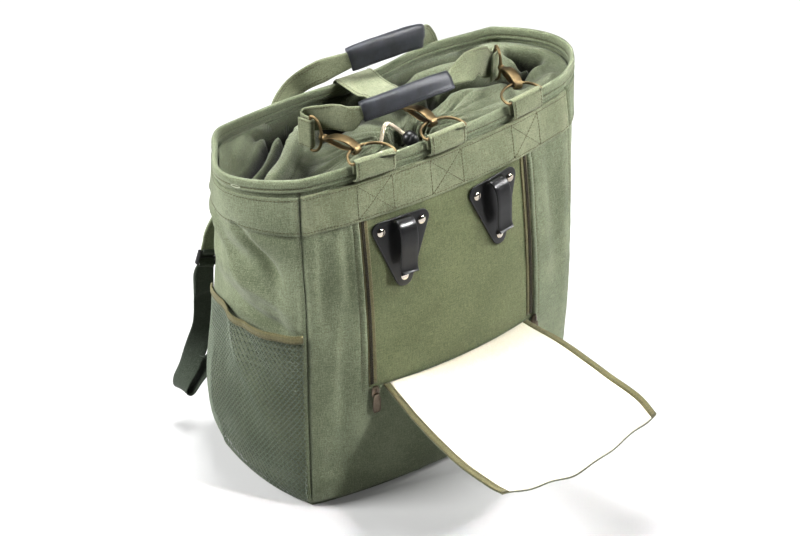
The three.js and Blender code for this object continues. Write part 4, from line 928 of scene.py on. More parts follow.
# Zips on the window's two edges: tape, and a coil of teeth beside the folded cloth
TOOTH_PITCH = 1.25
TOOTH = {"length": 2.0, "radius": 0.62, "lift": 1.4, "tilt": 0.25}
COIL_ROWS = (0.29, 0.49)
ZIP_SEAM = 7
ZIP_GAP = 0.0012
ZIP_TAPE = 0.9


def make_zips():
    lift = HOOK_OUT + GAP
    for name, edge, way in (("left", ZIP_LEFT, 1), ("right", ZIP_RIGHT, -1)):
        def at(share, z, off, edge=edge, way=way):
            return body_point(FRONT, leaning(edge + way * (ZIP_GAP + share * ZIP_WIDE), z), z, off)

        grid = np.meshgrid(np.linspace(0, 1, 9), fill([HINGE_Z + 4, WINDOW_TOP - GAP], 4))
        piece(f"zip_{name}_tape", [shell(at, *grid, lift + ZIP_TAPE, lift)], "binding", f"zip_{name}")
        level = np.arange(HINGE_Z + 5, WINDOW_TOP - 1, TOOTH_PITCH)
        blocks = []
        for middle in COIL_ROWS:
            spot = at(middle, level, lift + TOOTH["lift"])
            up = unit(at(middle, level, lift + 3) - spot)
            across = unit(at(middle + 0.1, level, lift + TOOTH["lift"]) - spot)
            lean = unit(across + TOOTH["tilt"] * UP)
            blocks.append(beads(spot, lean, up, TOOTH["length"], TOOTH["radius"]))
        piece(f"zip_{name}_coil", blocks, "zip")
        beside = edge - way * ZIP_SEAM / SIDE_WIDE[FRONT]
        seam = sew(front_wall, beside, np.linspace(HINGE_Z - 2, WINDOW_TOP - 2, 120), -0.1)
        piece(f"zip_{name}_stitching", [seam], "thread")


# Loops on the front band, the D-rings in their folds and the snap hooks on the rings
LOOP_HALF = 22
LOOP_INSET = 2.6
LOOP_RIPPLE = 0.25
LOOP_TAIL = [399, 391]
LOOP_SEWN = slice(2, 26)
LOOP_TACK_Z = 388
WIRE = 1.5
BAR_OFF = 6.3
BAR_Z = 405
WRAP = WIRE + 0.45 + WEBBING / 2
RING_HALF = 25
RING_REACH = 22
RING_TILT = 0.17
BOW_ROUND = 0.8
SNAP_AIM = {"left": (-0.32, 0.947), "mid": (-0.1, 0.995), "right": (0.25, 0.968)}
SWIVEL_AT = 39
BAIL_REACH = 13
BAIL_HALF = 19
BAIL_BOSS = ((0.535, 0.05, 1.6),)
COLLET_BACK = 5.2
PIN_ALONG = 29.4
PIN_HALF = 4.9
LOOP_ROWS = columns("off z", (1.5, 384.9), (2.6, 385.8), (6.4, 387.2), (9.8, 391), (10.8, 397.5))
HOOK_ROWS = columns(
    "along up half thick", (35, 0, 3.6, 6.4), (31.5, 0.6, 4.4, 6), (29, 2.6, 5.4, 3.2), (24, 5.2, 5.8, 2.2),
    (15, 6.6, 5.8, 2.2), (6, 6, 5.6, 2.2), (0.4, 4, 5.2, 2.2), (-3.4, 2.2, 4.6, 2.2), (-5, -1, 4.4, 2.2),
    (-3.2, -4, 4.4, 2.2), (0.4, -4.8, 4.2, 2))
GATE_ROWS = columns(
    "along up half thick", (29.1, -1.9, 3.4, 1.6), (22, -2.6, 3.6, 1.4), (12, -3.6, 3.6, 1.4),
    (3.4, -2.1, 3.4, 1.4))
COLLET_ROWS = columns("along radius", (0, 3.2), (0.5, 3.9), (1.6, 3.9), (2.2, 3.3), (2.8, 2.4))
PIN_ROWS = columns("along radius", (0, 0.9), (0.6, 1.3), (9.2, 1.3), (9.8, 0.9))


def rim_place(x):
    u = float(share_at(FRONT, x, RIM_TOP))
    ends = body_point(FRONT, np.array([u - 0.03, u + 0.03]), RIM_TOP, 0.0)
    return u, unit(ends[1] - ends[0])


def bow(centre, across, inward, half, reach, bar_steps, bow_steps):
    """Points round a D: its straight bar, then its bow."""
    bar = np.linspace(-half, half, bar_steps + 1)[1:-1]
    turn = np.linspace(0, np.pi, bow_steps + 1)
    rise = reach * np.maximum(np.sin(turn), 0) ** BOW_ROUND
    wide = np.concatenate([bar, half * np.cos(turn)])
    rise = np.concatenate([np.zeros_like(bar), rise])
    return centre + np.multiply.outer(wide, across) + np.multiply.outer(rise, inward)


def ring_frame(name):
    u, across = rim_place(LOOP_X[name])
    bar = body_point(FRONT, u, RIM_TOP, BAR_OFF)
    bar[2] = BAR_Z
    level = vec(-across[1], across[0], 0)
    return bar, across, level * math.cos(RING_TILT) + UP * math.sin(RING_TILT)


def snap_frame(name):
    """A snap hook's crown on its ring, its ways along and across, and its swivel."""
    bar, across, inward = ring_frame(name)
    along = unit(vec(*SNAP_AIM[name], 0))
    swing = along @ across
    reach = RING_REACH * (1 - swing * swing) ** (BOW_ROUND / 2)
    crown = bar + RING_HALF * swing * across + reach * inward
    return crown, along, vec(along[1], -along[0], 0), crown + SWIVEL_AT * along


def stations(points, side, half, thick, steps):
    """A strap's path, the way of its width, half width and thickness on a smooth curve through rows."""
    path = smooth(points, steps)
    place = np.linspace(0, len(points) - 1, len(path))
    half, thick = (np.interp(place, range(len(points)), values) for values in (half, thick))
    return path, side if np.ndim(side) == 1 else unit(smooth(side, steps)), half, thick


def make_loop(name):
    u, across = rim_place(LOOP_X[name])
    turn = np.linspace(0, np.pi, 13)
    off = np.concatenate([LOOP_ROWS["off"], BAR_OFF + WRAP * np.cos(turn), [BAR_OFF - WRAP] * 2])
    z = np.concatenate([LOOP_ROWS["z"], BAR_Z + WRAP * np.sin(turn), LOOP_TAIL])
    at = body_point(FRONT, u, np.minimum(z, RIM_TOP), off)
    at[:, 2] = z
    at = smooth(at, 3)
    side, face = frames(at, across)[1:]
    strap = ribbon(at, across, LOOP_HALF, WEBBING, pillow=0.12, across=11)
    x, _, z = strap["verts"].T
    strap["verts"] += LOOP_RIPPLE * noise(x / 7, z / 9, 41)[:, None]
    piece(f"loop_{name}_cloth", [strap], "webbing", f"loop_{name}")
    inset = LOOP_HALF - LOOP_INSET
    outside = (at - face * (WEBBING / 2))[LOOP_SEWN]
    rows = [stitches(outside + edge * side[LOOP_SEWN], -face[LOOP_SEWN]) for edge in (-inset, inset)]
    first = int(np.argmax(at[:, 2] > LOOP_TACK_Z))
    line = at[first] + np.linspace(-inset, inset, 40)[:, None] * side[first] - face[first]
    rows.append(stitches(line, -face[first]))
    piece(f"loop_{name}_stitching", rows, "thread")


def strip(name, rows):
    """Flat brass strip in a snap hook's own plane."""
    crown, along, wide = snap_frame(name)[:3]
    at = crown + rows["along"][:, None] * along + rows["up"][:, None] * UP
    return ribbon(*stations(at, wide, rows["half"], rows["thick"], 8), pillow=0.25)


def make_snap(name):
    bar, across, inward = ring_frame(name)
    ring = bow(bar, across, inward, RING_HALF, RING_REACH, 6, 72)
    wire = tube(ring, WIRE, 16, True, np.cross(across, inward))
    piece(f"d_ring_{name}_wire", [wire], "brass", f"d_ring_{name}")
    crown, along, wide, swivel = snap_frame(name)
    bail_side = wide if name == "mid" else UP
    bail = bow(swivel + BAIL_REACH * along, bail_side, -along, BAIL_HALF, BAIL_REACH, 6, 64)
    boss = ridges(np.arange(len(bail)) / len(bail), BAIL_BOSS)
    wire = tube(bail, WIRE + boss, 16, True, np.cross(bail_side, -along))
    piece(f"snap_{name}_eye", [wire], "brass", f"snap_{name}_bail")
    collet = turned(swivel - COLLET_BACK * along, along, *COLLET_ROWS.values(), 24)
    pin = turned(crown + PIN_ALONG * along - PIN_HALF * wide, wide, *PIN_ROWS.values(), 16)
    blocks = [strip(name, HOOK_ROWS), collet, pin]
    piece(f"snap_{name}_body", blocks, "brass", f"snap_{name}_hook", sharp=40)
    latch = strip(name, GATE_ROWS)
    piece(f"snap_{name}_latch", [latch], "brass", f"snap_{name}_gate", f"{name}_gate", sharp=40)


make_zips()
for each in LOOP_X:
    make_loop(each)
    make_snap(each)

# Straps: rows of x, y, z, the way of the width, half width and thickness
TURN = WIRE + 0.5 + WEBBING / 2
STRAP_HALF = 15.5
BACK_STRAP_OFF = GAP + WEBBING + GAP + WEBBING / 2

# Leather sleeves: how far they stand round a strap, and where across it the sewn flange begins
SLEEVE = 2.55
GRIP_WIDE = 1.2
GRIP_DEEP = 0.6
GRIP_FLANGE = 0.62
GRIP_SINK = ((-0.6, 0.11, 0.2),)

# Closure strap: its rows on the back as height, offset and rise, then over the mouth as y, z and half width
CLOSURE_HALF = 23
CLOSURE_BACK = (
    (349, 0.4, 0), (368, 1, 0), (386, 1.7, 0), (397, 1.7, 0), (400, -0.6, 2), (400, -5, 2.8), (400, -13, 2.6))
CLOSURE_SPAN = ((52, 401.6, 22), (36, 401.4, 22), (22, 404, 20))


def route(rows, steps):
    rows = np.array(rows, float)
    return stations(rows[:, :3], rows[:, 3:6], rows[:, 6], rows[:, 7], steps)


def half_turn(way):
    """Places round a bar, from one of its sides to the other."""
    turn = way * np.linspace(math.pi / 2, 1.5 * math.pi, 7)
    return [(TURN * math.cos(a), TURN * math.sin(a)) for a in turn]


def edge_stitches(path, side, half, thick, inset, part=slice(None)):
    side, face = frames(path, side)[1:]
    rows = []
    for way in (-1, 1):
        for look in (1, -1):
            line = path + side * (way * (half - inset))[:, None] + face * (look * thick / 2)[:, None]
            rows.append(stitches(line[part], (look * face)[part]))
    return rows


def grip(path, side, half, thick, first, last):
    """Leather sleeve folded round a strap and sewn along its lower edge."""
    side, face = frames(path, side)[1:]
    cos, sin = np.cos(circle(56)), np.sin(circle(56))
    spread = np.sign(cos) * np.abs(cos) ** 0.4
    rise = np.sign(sin) * np.abs(sin) ** 0.5
    steps = np.arange(first, last + 1)
    rings = []
    for i in steps:
        wear = 1 - 0.03 * np.exp(-min(i - first, last - i) / 0.7) + 0.02 * noise(i / 3.0, 0.5, 51)
        a = (GRIP_WIDE * half[i] + SLEEVE) * spread
        share = a / half[i]
        flange = 1 / (1 + np.exp((share + GRIP_FLANGE) * 9))
        b = (GRIP_DEEP * thick[i] + SLEEVE) * rise * (1 - 0.5 * flange - ridges(share, GRIP_SINK))
        rings.append(path[i] + wear * (a[:, None] * side[i] + b[:, None] * face[i]))
    sewn = []
    inner = steps[1:-1]
    edge = path[inner] - side[inner] * (GRIP_WIDE * half[inner] - 0.4)[:, None]
    lift = face[inner] * ((GRIP_DEEP * thick[inner] + SLEEVE) * 0.58)[:, None]
    for look in (1, -1):
        sewn.append(stitches(edge + look * lift, look * face[inner], LEATHER_STITCH))
    return loft(rings), sewn


def make_handle(name, rows, first, last, steps, insets, clear):
    """Webbing strap with a leather sleeve between two of its rows, and the stitches of both."""
    path = route(rows, steps)
    start, stop = first * steps, last * steps
    piece(f"{name}_handle_cloth", [ribbon(*path, pillow=0.15)], "webbing", f"{name}_handle_strap")
    sleeve, sewn = grip(*path, start, stop)
    piece(f"{name}_handle_leather", [sleeve], "leather", f"{name}_handle_grip")
    piece(f"{name}_handle_leather_stitching", sewn, "dark_thread")
    rows = []
    for inset in insets:
        for part in (slice(0, start - clear), slice(stop + clear, None)):
            rows += edge_stitches(*path, inset, part)
    piece(f"{name}_handle_stitching", rows, "thread")


def bail_bar(name):
    """Middle of the bar that a strap is sewn round, and its snap hook's ways along and across."""
    _, along, wide, swivel = snap_frame(name)
    return swivel + BAIL_REACH * along, along, wide


def make_front_handle():
    def row(p, lean):
        return (*p, 0, -lean, 1, STRAP_HALF, WEBBING)

    bar, away, wide = bail_bar("left")

    def in_left(e, q, up=0, lean=0):
        return row(bar + e * away + q * wide + up * UP, lean)

    rows = [in_left(12.5, -TURN), in_left(6, -TURN)] + [in_left(*place) for place in half_turn(-1)]
    rows += [in_left(*bend) for bend in (
        (7, 3.1), (12, 3.6, 0.5), (16.5, 7, 1.5, 0.05), (16.5, 13, 3, 0.2), (9, 17, 5.5, 0.45),
        (-9, 20, 11, 0.5), (-29, 21, 16.5, 0.25))]
    first = len(rows)
    rows += [(*p, 6.6, 4.6) for p in (
        (-72, -41, 431, 0, 0.2, 1), (-44, -43, 432.5, 0, 0.35, 0.94), (-16, -42, 433, 0, 0.5, 0.87),
        (12, -40, 432, 0, 0.6, 0.8), (38, -37, 430, 0, 0.7, 0.7))]
    last = len(rows) - 1
    rows += [(*p, STRAP_HALF, WEBBING) for p in ((66, -32, 434, 0, 0.35, 0.93), (90, -23, 430, 0, -0.1, 1))]
    far = bail_bar("right")[0]
    heading = unit(vec(90, -23, 0) - vec(far[0], far[1], 0))
    beside = vec(heading[1], -heading[0], 0)

    def near_right(g, h, up=0, lean=0):
        return row(far + g * heading + h * beside + up * UP, lean)

    rows += [near_right(24, TURN, 8, 0.22), near_right(10, TURN, 1.5, 0.08)]
    rows += [near_right(*place) for place in half_turn(1)]
    rows += [near_right(9, -TURN), near_right(18, -TURN, 1)]
    make_handle("front", rows, first, last, 6, (2.4,), 8)


def on_back(x, z, off):
    return body_point(BACK, share_at(BACK, x, z), z, off)


def back_side(x, z, sx, sz):
    """Way on the back's face, from its shares level and up."""
    level = unit(on_back(x + 5, z, 0) - on_back(x - 5, z, 0))
    rise = unit(on_back(x, z + 5, 0) - on_back(x, z - 5, 0))
    return level * sx + rise * sz


def make_rear_handle():
    half = 14

    def sewn_row(x, z, out, sx, sz):
        p = on_back(x, min(z, RIM_TOP), BACK_STRAP_OFF + out)
        return (p[0], p[1], z, *back_side(x, min(z, RIM_TOP - 5), sx, sz), half, WEBBING)

    rows = [sewn_row(x, z, out, -1, 0.12 * i) for i, (x, z, out) in enumerate(
        ((-98, 347, 0), (-97, 364, 0), (-95, 376, 0.6), (-88, 386, 2.5)))]
    rows += [(-62, 91, 400.5, -0.7, 0.2, 0.66, half - 2, WEBBING),
             (-38, 79, 415, -0.4, 0.55, 0.73, half - 2, WEBBING)]
    first = len(rows)
    rows += [(*p, 8.6, 5) for p in (
        (-12, 66, 425, -0.3, 0.35, 0.89), (12, 64, 427.5, -0.2, 0.35, 0.91), (36, 63, 428.5, 0, 0.35, 0.94),
        (60, 65, 427.5, 0.1, 0.35, 0.94), (82, 69, 424, 0.2, 0.35, 0.92))]
    last = len(rows) - 1
    rows += [(100, 86, 414, 0.6, 0.3, 0.75, half - 3, WEBBING)]
    rows += [sewn_row(x, z, out, 1, 0.12 * (3 - i)) for i, (x, z, out) in enumerate(
        ((109, 400, 4), (113, 384, 0.6), (115, 366, 0), (116, 347, 0)))]
    make_handle("rear", rows, first, last, 8, (2, 4.6), 6)


def make_closure():
    x = LOOP_X["mid"]
    bar, away, wide = bail_bar("mid")
    rows = []
    for z, off, up in CLOSURE_BACK:
        p = on_back(x, z, BACK_STRAP_OFF + off)
        rows.append((p[0], p[1], p[2] + up, *back_side(x, min(z, RIM_TOP - 5), 1, 0), CLOSURE_HALF, WEBBING))
    rows += [(x, y, z, 1, 0, 0, half, WEBBING) for y, z, half in CLOSURE_SPAN]
    for g, h in [(9, -TURN), *half_turn(-1), (9, TURN), (16, TURN)]:
        rows.append((*(bar + g * away + h * UP), wide[0], wide[1], 0, STRAP_HALF, WEBBING))
    path = route(rows, 6)
    piece("closure_cloth", [ribbon(*path, pillow=0.1)], "webbing", "closure_strap")
    piece("closure_stitching", edge_stitches(*path, 3), "thread")


make_front_handle()
make_rear_handle()
make_closure()

# Gathered collar inside the rim: how high it lies round the mouth, and the rucks in it
COLLAR_SECTORS = columns(
    "t reach foot crest",
    (0, 0.25, 362, 376), (0.5, 0.3, 372, 384), (0.75, 0.3, 385, 392), (1, 0.25, 385, 391),
    (1.5, 0.22, 374, 387), (2, 0.16, 389, 387), (2.25, 0.16, 391, 385), (2.5, 0.22, 374, 384),
    (2.75, 0.05, 332, 376), (3, 0.2, 364, 374), (3.5, 0.36, 360, 370), (4, 0.25, 362, 376))
COLLAR_PROFILE = columns(
    "v rim foot crest lip fold", (0, 1, 0, 0, 0, 0), (0.3, 0, 1, 0, 0, 1.5), (0.65, 0, 0, 1, 0, 3.5),
    (1, 0, 0, 0, 1, 3))
COLLAR_RIM = 384
COLLAR_CREST_REACH = 0.62
COLLAR_LIP = 389
COLLAR_SEAT = 2.4
COLLAR_CLOTH = 1.4
THROAT = {"x": -23, "y": -41.5, "wide": 43, "deep": 15, "squash": 0.45, "close": 2.2}
THROAT_DROP = 130
PLEATS = 13
RUCKS = columns(
    "x0 y0 x1 y1 wide height",
    (-112, 84, -24, 72, 15, -90), (-128, -56, -70, -52, 11, 8), (58, -18, 118, -24, 13, 11),
    (40, 2, 146, 10, 7, -70), (60, 72, 140, 80, 13, -110), (60, 26, 50, -6, 6, -26),
    (56, 38, 146, 32, 10, 12), (146, 8, 200, 18, 5, -22), (150, -14, 196, 36, 6, -11),
    (142, -40, 186, -20, 9, 7), (184, 2, 208, 30, 8, 5), (188, 46, 204, 24, 7, -32))
PLEAT_PINCH = 0.16
SLACK_REACH = (55, 110)
SLACK_CALM = 0.75
COLLAR_CREASE = 1.7

# The fold at the mouth's left end: its edge's two ends, how it starts, fades and stands, the hollow beyond
FOLD_EDGE = ((-168, -14), (-76, 60))
FOLD_WAVE = 2.5
FOLD_STARTS = (-30, 4)
FOLD_FADE = 30
FOLD_BACK = 8
FOLD_WIDE = 14
FOLD_TOP = 384
FOLD_PLEATS = ((-17, 2.6, 9), (-31, 3, 7))
HOLLOW_NEAR = (-2, 3)
HOLLOW_FAR = (26, 46)
HOLLOW_Z = 377
HOLLOW_DROP = 64
HOLLOW_DEEP = (0.68, 0.98)
GROOVES = ((3, 3.2, 66), (20, 3.2, 60))


def left_fold(x, y, z):
    """The fold that overhangs the hollow at the left end: a raised edge, a drop and a smaller fold in it."""
    (x0, y0), (x1, y1) = FOLD_EDGE
    ax, ay = x1 - x0, y1 - y0
    far = math.hypot(ax, ay)
    along = ((x - x0) * ax + (y - y0) * ay) / far
    beyond = ((y - y0) * ax - (x - x0) * ay) / far + FOLD_WAVE * np.sin(along / 17)
    there = between(along, *FOLD_STARTS) * (1 - between(along, far, far + FOLD_FADE))
    raised = near(np.minimum(beyond + FOLD_BACK, 0), FOLD_WIDE) * there
    sunk = between(beyond, *HOLLOW_NEAR) * (1 - between(beyond, *HOLLOW_FAR)) * there
    deep = between(along, *(share * far for share in HOLLOW_DEEP))
    level = HOLLOW_Z - ridges(beyond, GROOVES) - HOLLOW_DROP * deep
    z = z + (FOLD_TOP - ridges(beyond, FOLD_PLEATS) - z) * raised * (1 - sunk)
    return z + (level - z) * sunk


def collar_point(t, v, off):
    rim, foot, crest, lip, size = ease(COLLAR_PROFILE, np.minimum(v, 1)).values()
    sector = ease(COLLAR_SECTORS, t)
    z = COLLAR_RIM * rim + sector["foot"] * foot + sector["crest"] * crest + COLLAR_LIP * lip
    share = sector["reach"] * foot + COLLAR_CREST_REACH * crest + lip
    wall = ring_skin(t, z, -CANVAS - COLLAR_SEAT, body_point)
    angle = np.arctan2(wall[..., 1] - THROAT["y"], (wall[..., 0] - THROAT["x"]) * THROAT["squash"])
    slip = 0.9 * np.sin(2 * angle + 1) + 0.5 * noise(angle * 2.2 + 8, v * 2, 61)
    drawn = np.maximum(v - 1, 0)
    pinch = (1 + PLEAT_PINCH * np.sin(PLEATS * angle + slip) * share) * (1 - THROAT["close"] * drawn)
    x = wall[..., 0] * (1 - share) + (THROAT["x"] + THROAT["wide"] * pinch * np.cos(angle)) * share
    y = wall[..., 1] * (1 - share) + (THROAT["y"] + THROAT["deep"] * pinch * np.sin(angle)) * share
    wave = np.abs(np.sin((PLEATS * angle + slip) / 2)) ** 0.8 * 2 - 1.2
    fold = wave + 0.3 * np.sin(2 * PLEATS * angle + 1.3 * v) + 0.3 * noise(angle * 9, v * 5, 62)
    fine = np.sin(4 * PLEATS * angle + 3 * slip) * 0.8 * clamp((v - 0.6) / 0.4)
    creased = COLLAR_CREASE * noise(x / 24 + 3, y / 17, 63) * clamp(v / 0.2)
    slack = between(np.hypot(x - THROAT["x"], y - THROAT["y"]), *SLACK_REACH)
    z = z + (size * fold + fine) * (1 - SLACK_CALM * slack) + creased - THROAT_DROP * drawn
    z = z + (left_fold(x, y, z) - z) * clamp(v / 0.1)
    for *line, height in zip(*RUCKS.values()):
        z = z + height * crease(x, y, *line)[0] * clamp(v / 0.08)
    return np.stack([x, y, z + off], -1)


def make_collar():
    grid = np.meshgrid(np.linspace(0, 4, 521), fill([0, 1, 1.12], 0.018))
    sheet = shell(collar_point, *grid, 0, -COLLAR_CLOTH)
    cloth_piece = piece("collar_cloth", [sheet], "collar", "drawstring_collar")


make_collar()

# Rack hooks: a plate, a sprung tongue and three rivets each
PLATE_THICK = 1.8
PLATE_SEAT = 0.4
PLATE_EDGE = ((0.5, 0), (0, 0.4), (0, PLATE_THICK - 0.7), (0.25, PLATE_THICK - 0.2), (0.8, PLATE_THICK))
PLATE_CORNERS = ((-24, 30, 9), (0, -29, 10), (24, 30, 9))
RIVETS = ((-23.5, 28), (23.5, 28), (0, -27.5))
RIVET_ROWS = columns(
    "along radius", (0, 4.6), (0.5, 4.6), (0.9, 4.45), (1.3, 4.0), (1.7, 3.3), (2.05, 2.3), (2.25, 1.2),
    (2.3, 0.3))
TONGUE_HALF = 10
TONGUE_ROWS = columns(
    "up out", (36, 1.25), (38.4, 3.4), (37.6, 8), (33, 12.4), (25, 14.6), (14, 14.4), (2, 12.4), (-10, 10.6),
    (-16, 10.8), (-19.5, 12.6))


def hook_frame(x, z, turn):
    u = float(share_at(FRONT, x, z))
    shares, rises = np.array([-0.08, 0.08, 0, 0, 0]), np.array([0, 0, -40, 40, 0])
    place = body_point(FRONT, u + shares, z + rises, HOOK_OUT)
    level, rise = unit(place[1] - place[0]), unit(place[3] - place[2])
    out = unit(np.cross(level, rise))
    right = level * math.cos(turn) + np.cross(out, level) * math.sin(turn)
    return place[4] + PLATE_SEAT * out, right, np.cross(out, right), out


def plate_outline(shrink):
    """Triangle with rounded corners."""
    points = []
    for i, (x, y, radius) in enumerate(PLATE_CORNERS):
        before, after = PLATE_CORNERS[i - 1], PLATE_CORNERS[(i + 1) % 3]
        start = math.atan2(before[0] - x, y - before[1])
        sweep = (math.atan2(x - after[0], after[1] - y) - start) % (2 * math.pi)
        angle = start + sweep * np.linspace(0, 1, 12)
        r = radius - shrink
        points.append(np.stack([x + r * np.cos(angle), y + r * np.sin(angle)]))
    return np.hstack(points)


def make_hook(name):
    origin, right, up, out = hook_frame(*HOOKS[name])
    at = framed(origin, right, up, out)
    plate = loft([at(*plate_outline(shrink), rise) for shrink, rise in PLATE_EDGE])
    piece(f"hook_{name}_backing", [plate], "plate", f"hook_{name}_plate", sharp=60)
    path = smooth(at(0, TONGUE_ROWS["up"], PLATE_THICK + TONGUE_ROWS["out"]), 8)
    tongue = ribbon(path, right, TONGUE_HALF, PLATE_THICK, across=7)
    piece(f"hook_{name}_spring", [tongue], "plate", f"hook_{name}_tongue", sharp=50)
    for i, (x, y) in enumerate(RIVETS):
        dome = turned(at(x, y, PLATE_THICK + GAP), out, *RIVET_ROWS.values(), 32)
        piece(f"hook_{name}_dome_{i + 1}", [dome], "nickel", f"hook_{name}_rivet_{i + 1}")


for each in HOOKS:
    make_hook(each)

# Flap folded down from the window's lower edge
FLAP_ROWS = columns(
    "v out left right drop belly tilt", (0, 0, -93, 99, 0, 0, 0), (0.1, 14, -92, 100, 2, 1, 3),
    (0.3, 50, -90, 105, 8, 4, 10), (0.5, 90, -88, 109, 14, 5, 13), (0.7, 128, -87, 114, 18, 6, 12),
    (0.88, 161, -85, 123, 22, 8, 7), (1, 180, -83, 129, 28, 10, -1))
FLAP_TAPE = 0.035
FLAP_LIP = 0.004
FLAP_CLOTH = 1.4
FLAP_STEP = 0.016
FLAP_SPAN = (200, 190)
FLAP_ROUND = ((0, 0.6, 0.6),)
FLAP_EDGING = 1.6
FLAP_SINK = ((5, 0.8, 0.25),)
FLAP_SEAM = FLAP_TAPE * 0.75
FLAP_WAVES = ((2, 2.6, 9.5, 0.6), (6, 1.7, 24, 1.1))


def flap_point(u, v, up):
    row = ease(FLAP_ROWS, v)
    x = row["left"] + (row["right"] - row["left"]) * u
    hinge = body_point(FRONT, share_at(FRONT, x, HINGE_Z), HINGE_Z - 2, 0.7)[..., 1]
    wave = sum(v ** power * high * np.sin(count * u + shift) for power, high, count, shift in FLAP_WAVES)
    curl = 0.5 * noise(u * 11, v * 2.5, 71) * v + 0.4 * noise(u * 3, v * 12, 72)
    sag = row["drop"] + row["belly"] * 4 * u * (1 - u) - row["tilt"] * (2 * u - 1)
    return np.stack([x, hinge - row["out"], HINGE_Z - 1.5 - sag + wave + curl + up], -1)


def make_flap():
    us = fill(mirrored([0, 0.004, 0.01, FLAP_TAPE]), FLAP_STEP)
    # Two rows at one place keep the lip's edge crisp
    crisp = [1 - FLAP_LIP] * 2
    u, v = np.meshgrid(us, fill([0, *crisp, 1], FLAP_STEP))
    edge = np.minimum(np.minimum(u, 1 - u) * FLAP_SPAN[0], (1 - v) * FLAP_SPAN[1])
    round_off = ridges(edge, FLAP_ROUND)
    sheet = shell(flap_point, u, v, FLAP_CLOTH - round_off, round_off)
    canvas = piece("flap_cloth", [sheet], "canvas", "flap_canvas")
    seat = FLAP_CLOTH + GAP
    inset = FLAP_TAPE + 0.002
    grid = np.meshgrid(fill([inset, 1 - inset], FLAP_STEP), fill([0, 1 - FLAP_LIP], FLAP_STEP))
    lining = piece("flap_coating", [shell(flap_point, *grid, seat + 1, seat)], "lining", "flap_lining")
    middle = (u[:-1, :-1] + u[1:, 1:]) / 2
    keep = (middle < FLAP_TAPE) | (middle > 1 - FLAP_TAPE)
    high = seat + FLAP_EDGING - round_off - ridges(edge, FLAP_SINK)
    tape = piece("flap_edging", [shell(flap_point, u, v, high, seat, keep)], "binding", "flap_tape")
    line = np.linspace(0.01, 0.985, 160)
    rows = [sew(flap_point, side, line, seat + 1.5) for side in (FLAP_SEAM, 1 - FLAP_SEAM)]
    piece("flap_stitching", rows, "thread")
    tick = np.linspace(0.012, 0.985, 150)
    teeth = []
    for side, way in ((0.003, -1), (0.997, 1)):
        spot = flap_point(np.full_like(tick, side), tick, seat + 0.7)
        teeth.append(beads(spot, vec(way, 0, 0), UP, TOOTH["length"], 0.55))
    coil = piece("flap_coil", teeth, "zip")


# Zip sliders at the foot of the zips, each with a hanging pull
SLIDERS = {"left": ZIP_LEFT + 0.017, "right": ZIP_RIGHT - 0.006}
SLIDER_ROWS = columns("up half thick", (7, 3, 2.2), (3, 4.6, 2.7), (-3, 4.6, 2.7), (-6, 3.2, 2.2))
SLIDER_OUT = 2.0
BRIDGE = {"up": 2.9, "half": 2.6, "out": 3.2, "rise": 1.6, "radius": 0.6}
PULL_HALF = ((2.6, 0), (3.6, -4), (4.4, -9), (4.4, -20), (3.8, -22.4), (2.6, -23.5))
PULL_OUTLINE = np.array([(-2.6, 0), *PULL_HALF, *((-x, y) for x, y in PULL_HALF[:0:-1])])
PULL_RINGS = ((1.0, 4.25), (1.0, 5.5), (0.9, 5.75), (0.66, 5.75), (0.58, 5.2), (0.1, 5.2))


def make_slider(name):
    seat, far = body_point(FRONT, SLIDERS[name], HINGE_Z - 4, np.array([0.4, 10.4]))
    out = unit(far - seat)
    right = vec(-out[1], out[0], 0)
    at = framed(seat, right, UP, out)
    up, half, thick = SLIDER_ROWS.values()
    body = ribbon(*stations(at(0, up, SLIDER_OUT), right, half, thick, 5), pillow=0.2)
    arch = np.linspace(0, np.pi, 13)
    up, out_by = BRIDGE["up"] + BRIDGE["half"] * np.cos(arch), BRIDGE["out"] + BRIDGE["rise"] * np.sin(arch)
    bridge = tube(at(0, up, out_by), BRIDGE["radius"], 10)
    piece(f"zip_{name}_runner", [body, bridge], "copper", f"zip_{name}_slider", sharp=45)
    centre = PULL_OUTLINE.mean(0)
    rings = []
    for shrink, rise in PULL_RINGS:
        x, y = (centre + (PULL_OUTLINE - centre) * (shrink, 1 - (1 - shrink) * 0.42)).T
        rings.append(at(x, y - 1, rise))
    piece(f"zip_{name}_tab", [loft(rings)], "copper", f"zip_{name}_pull", f"{name}_pull", sharp=35)


make_flap()
for each in SLIDERS:
    make_slider(each)

# Mesh pocket on the left gusset
POCKET_EDGE = columns("u z", (0, 188), (0.12, 195), (0.35, 208), (0.7, 214), (1, 219))
POCKET_FOOT = 7
POCKET_ENDS = (0.02, 0.98)
POCKET_TALL = 200
POCKET_SLACK = 9
POCKET_RIPPLE = 1.1
POCKET_FOLDS = columns(
    "u0 v0 u1 v1 wide height", (0.46, 0.98, 0.86, 0.4, 9, 4), (0.6, 0.98, 0.95, 0.6, 8, -4),
    (0.4, 0.14, 0.78, 0.1, 13, 5), (0.2, 0.85, 0.3, 0.3, 11, 3))
NET_PITCH = 5.0
STRAND = 0.75
TAPE_TALL = 10
TAPE_SEAM = 3.0


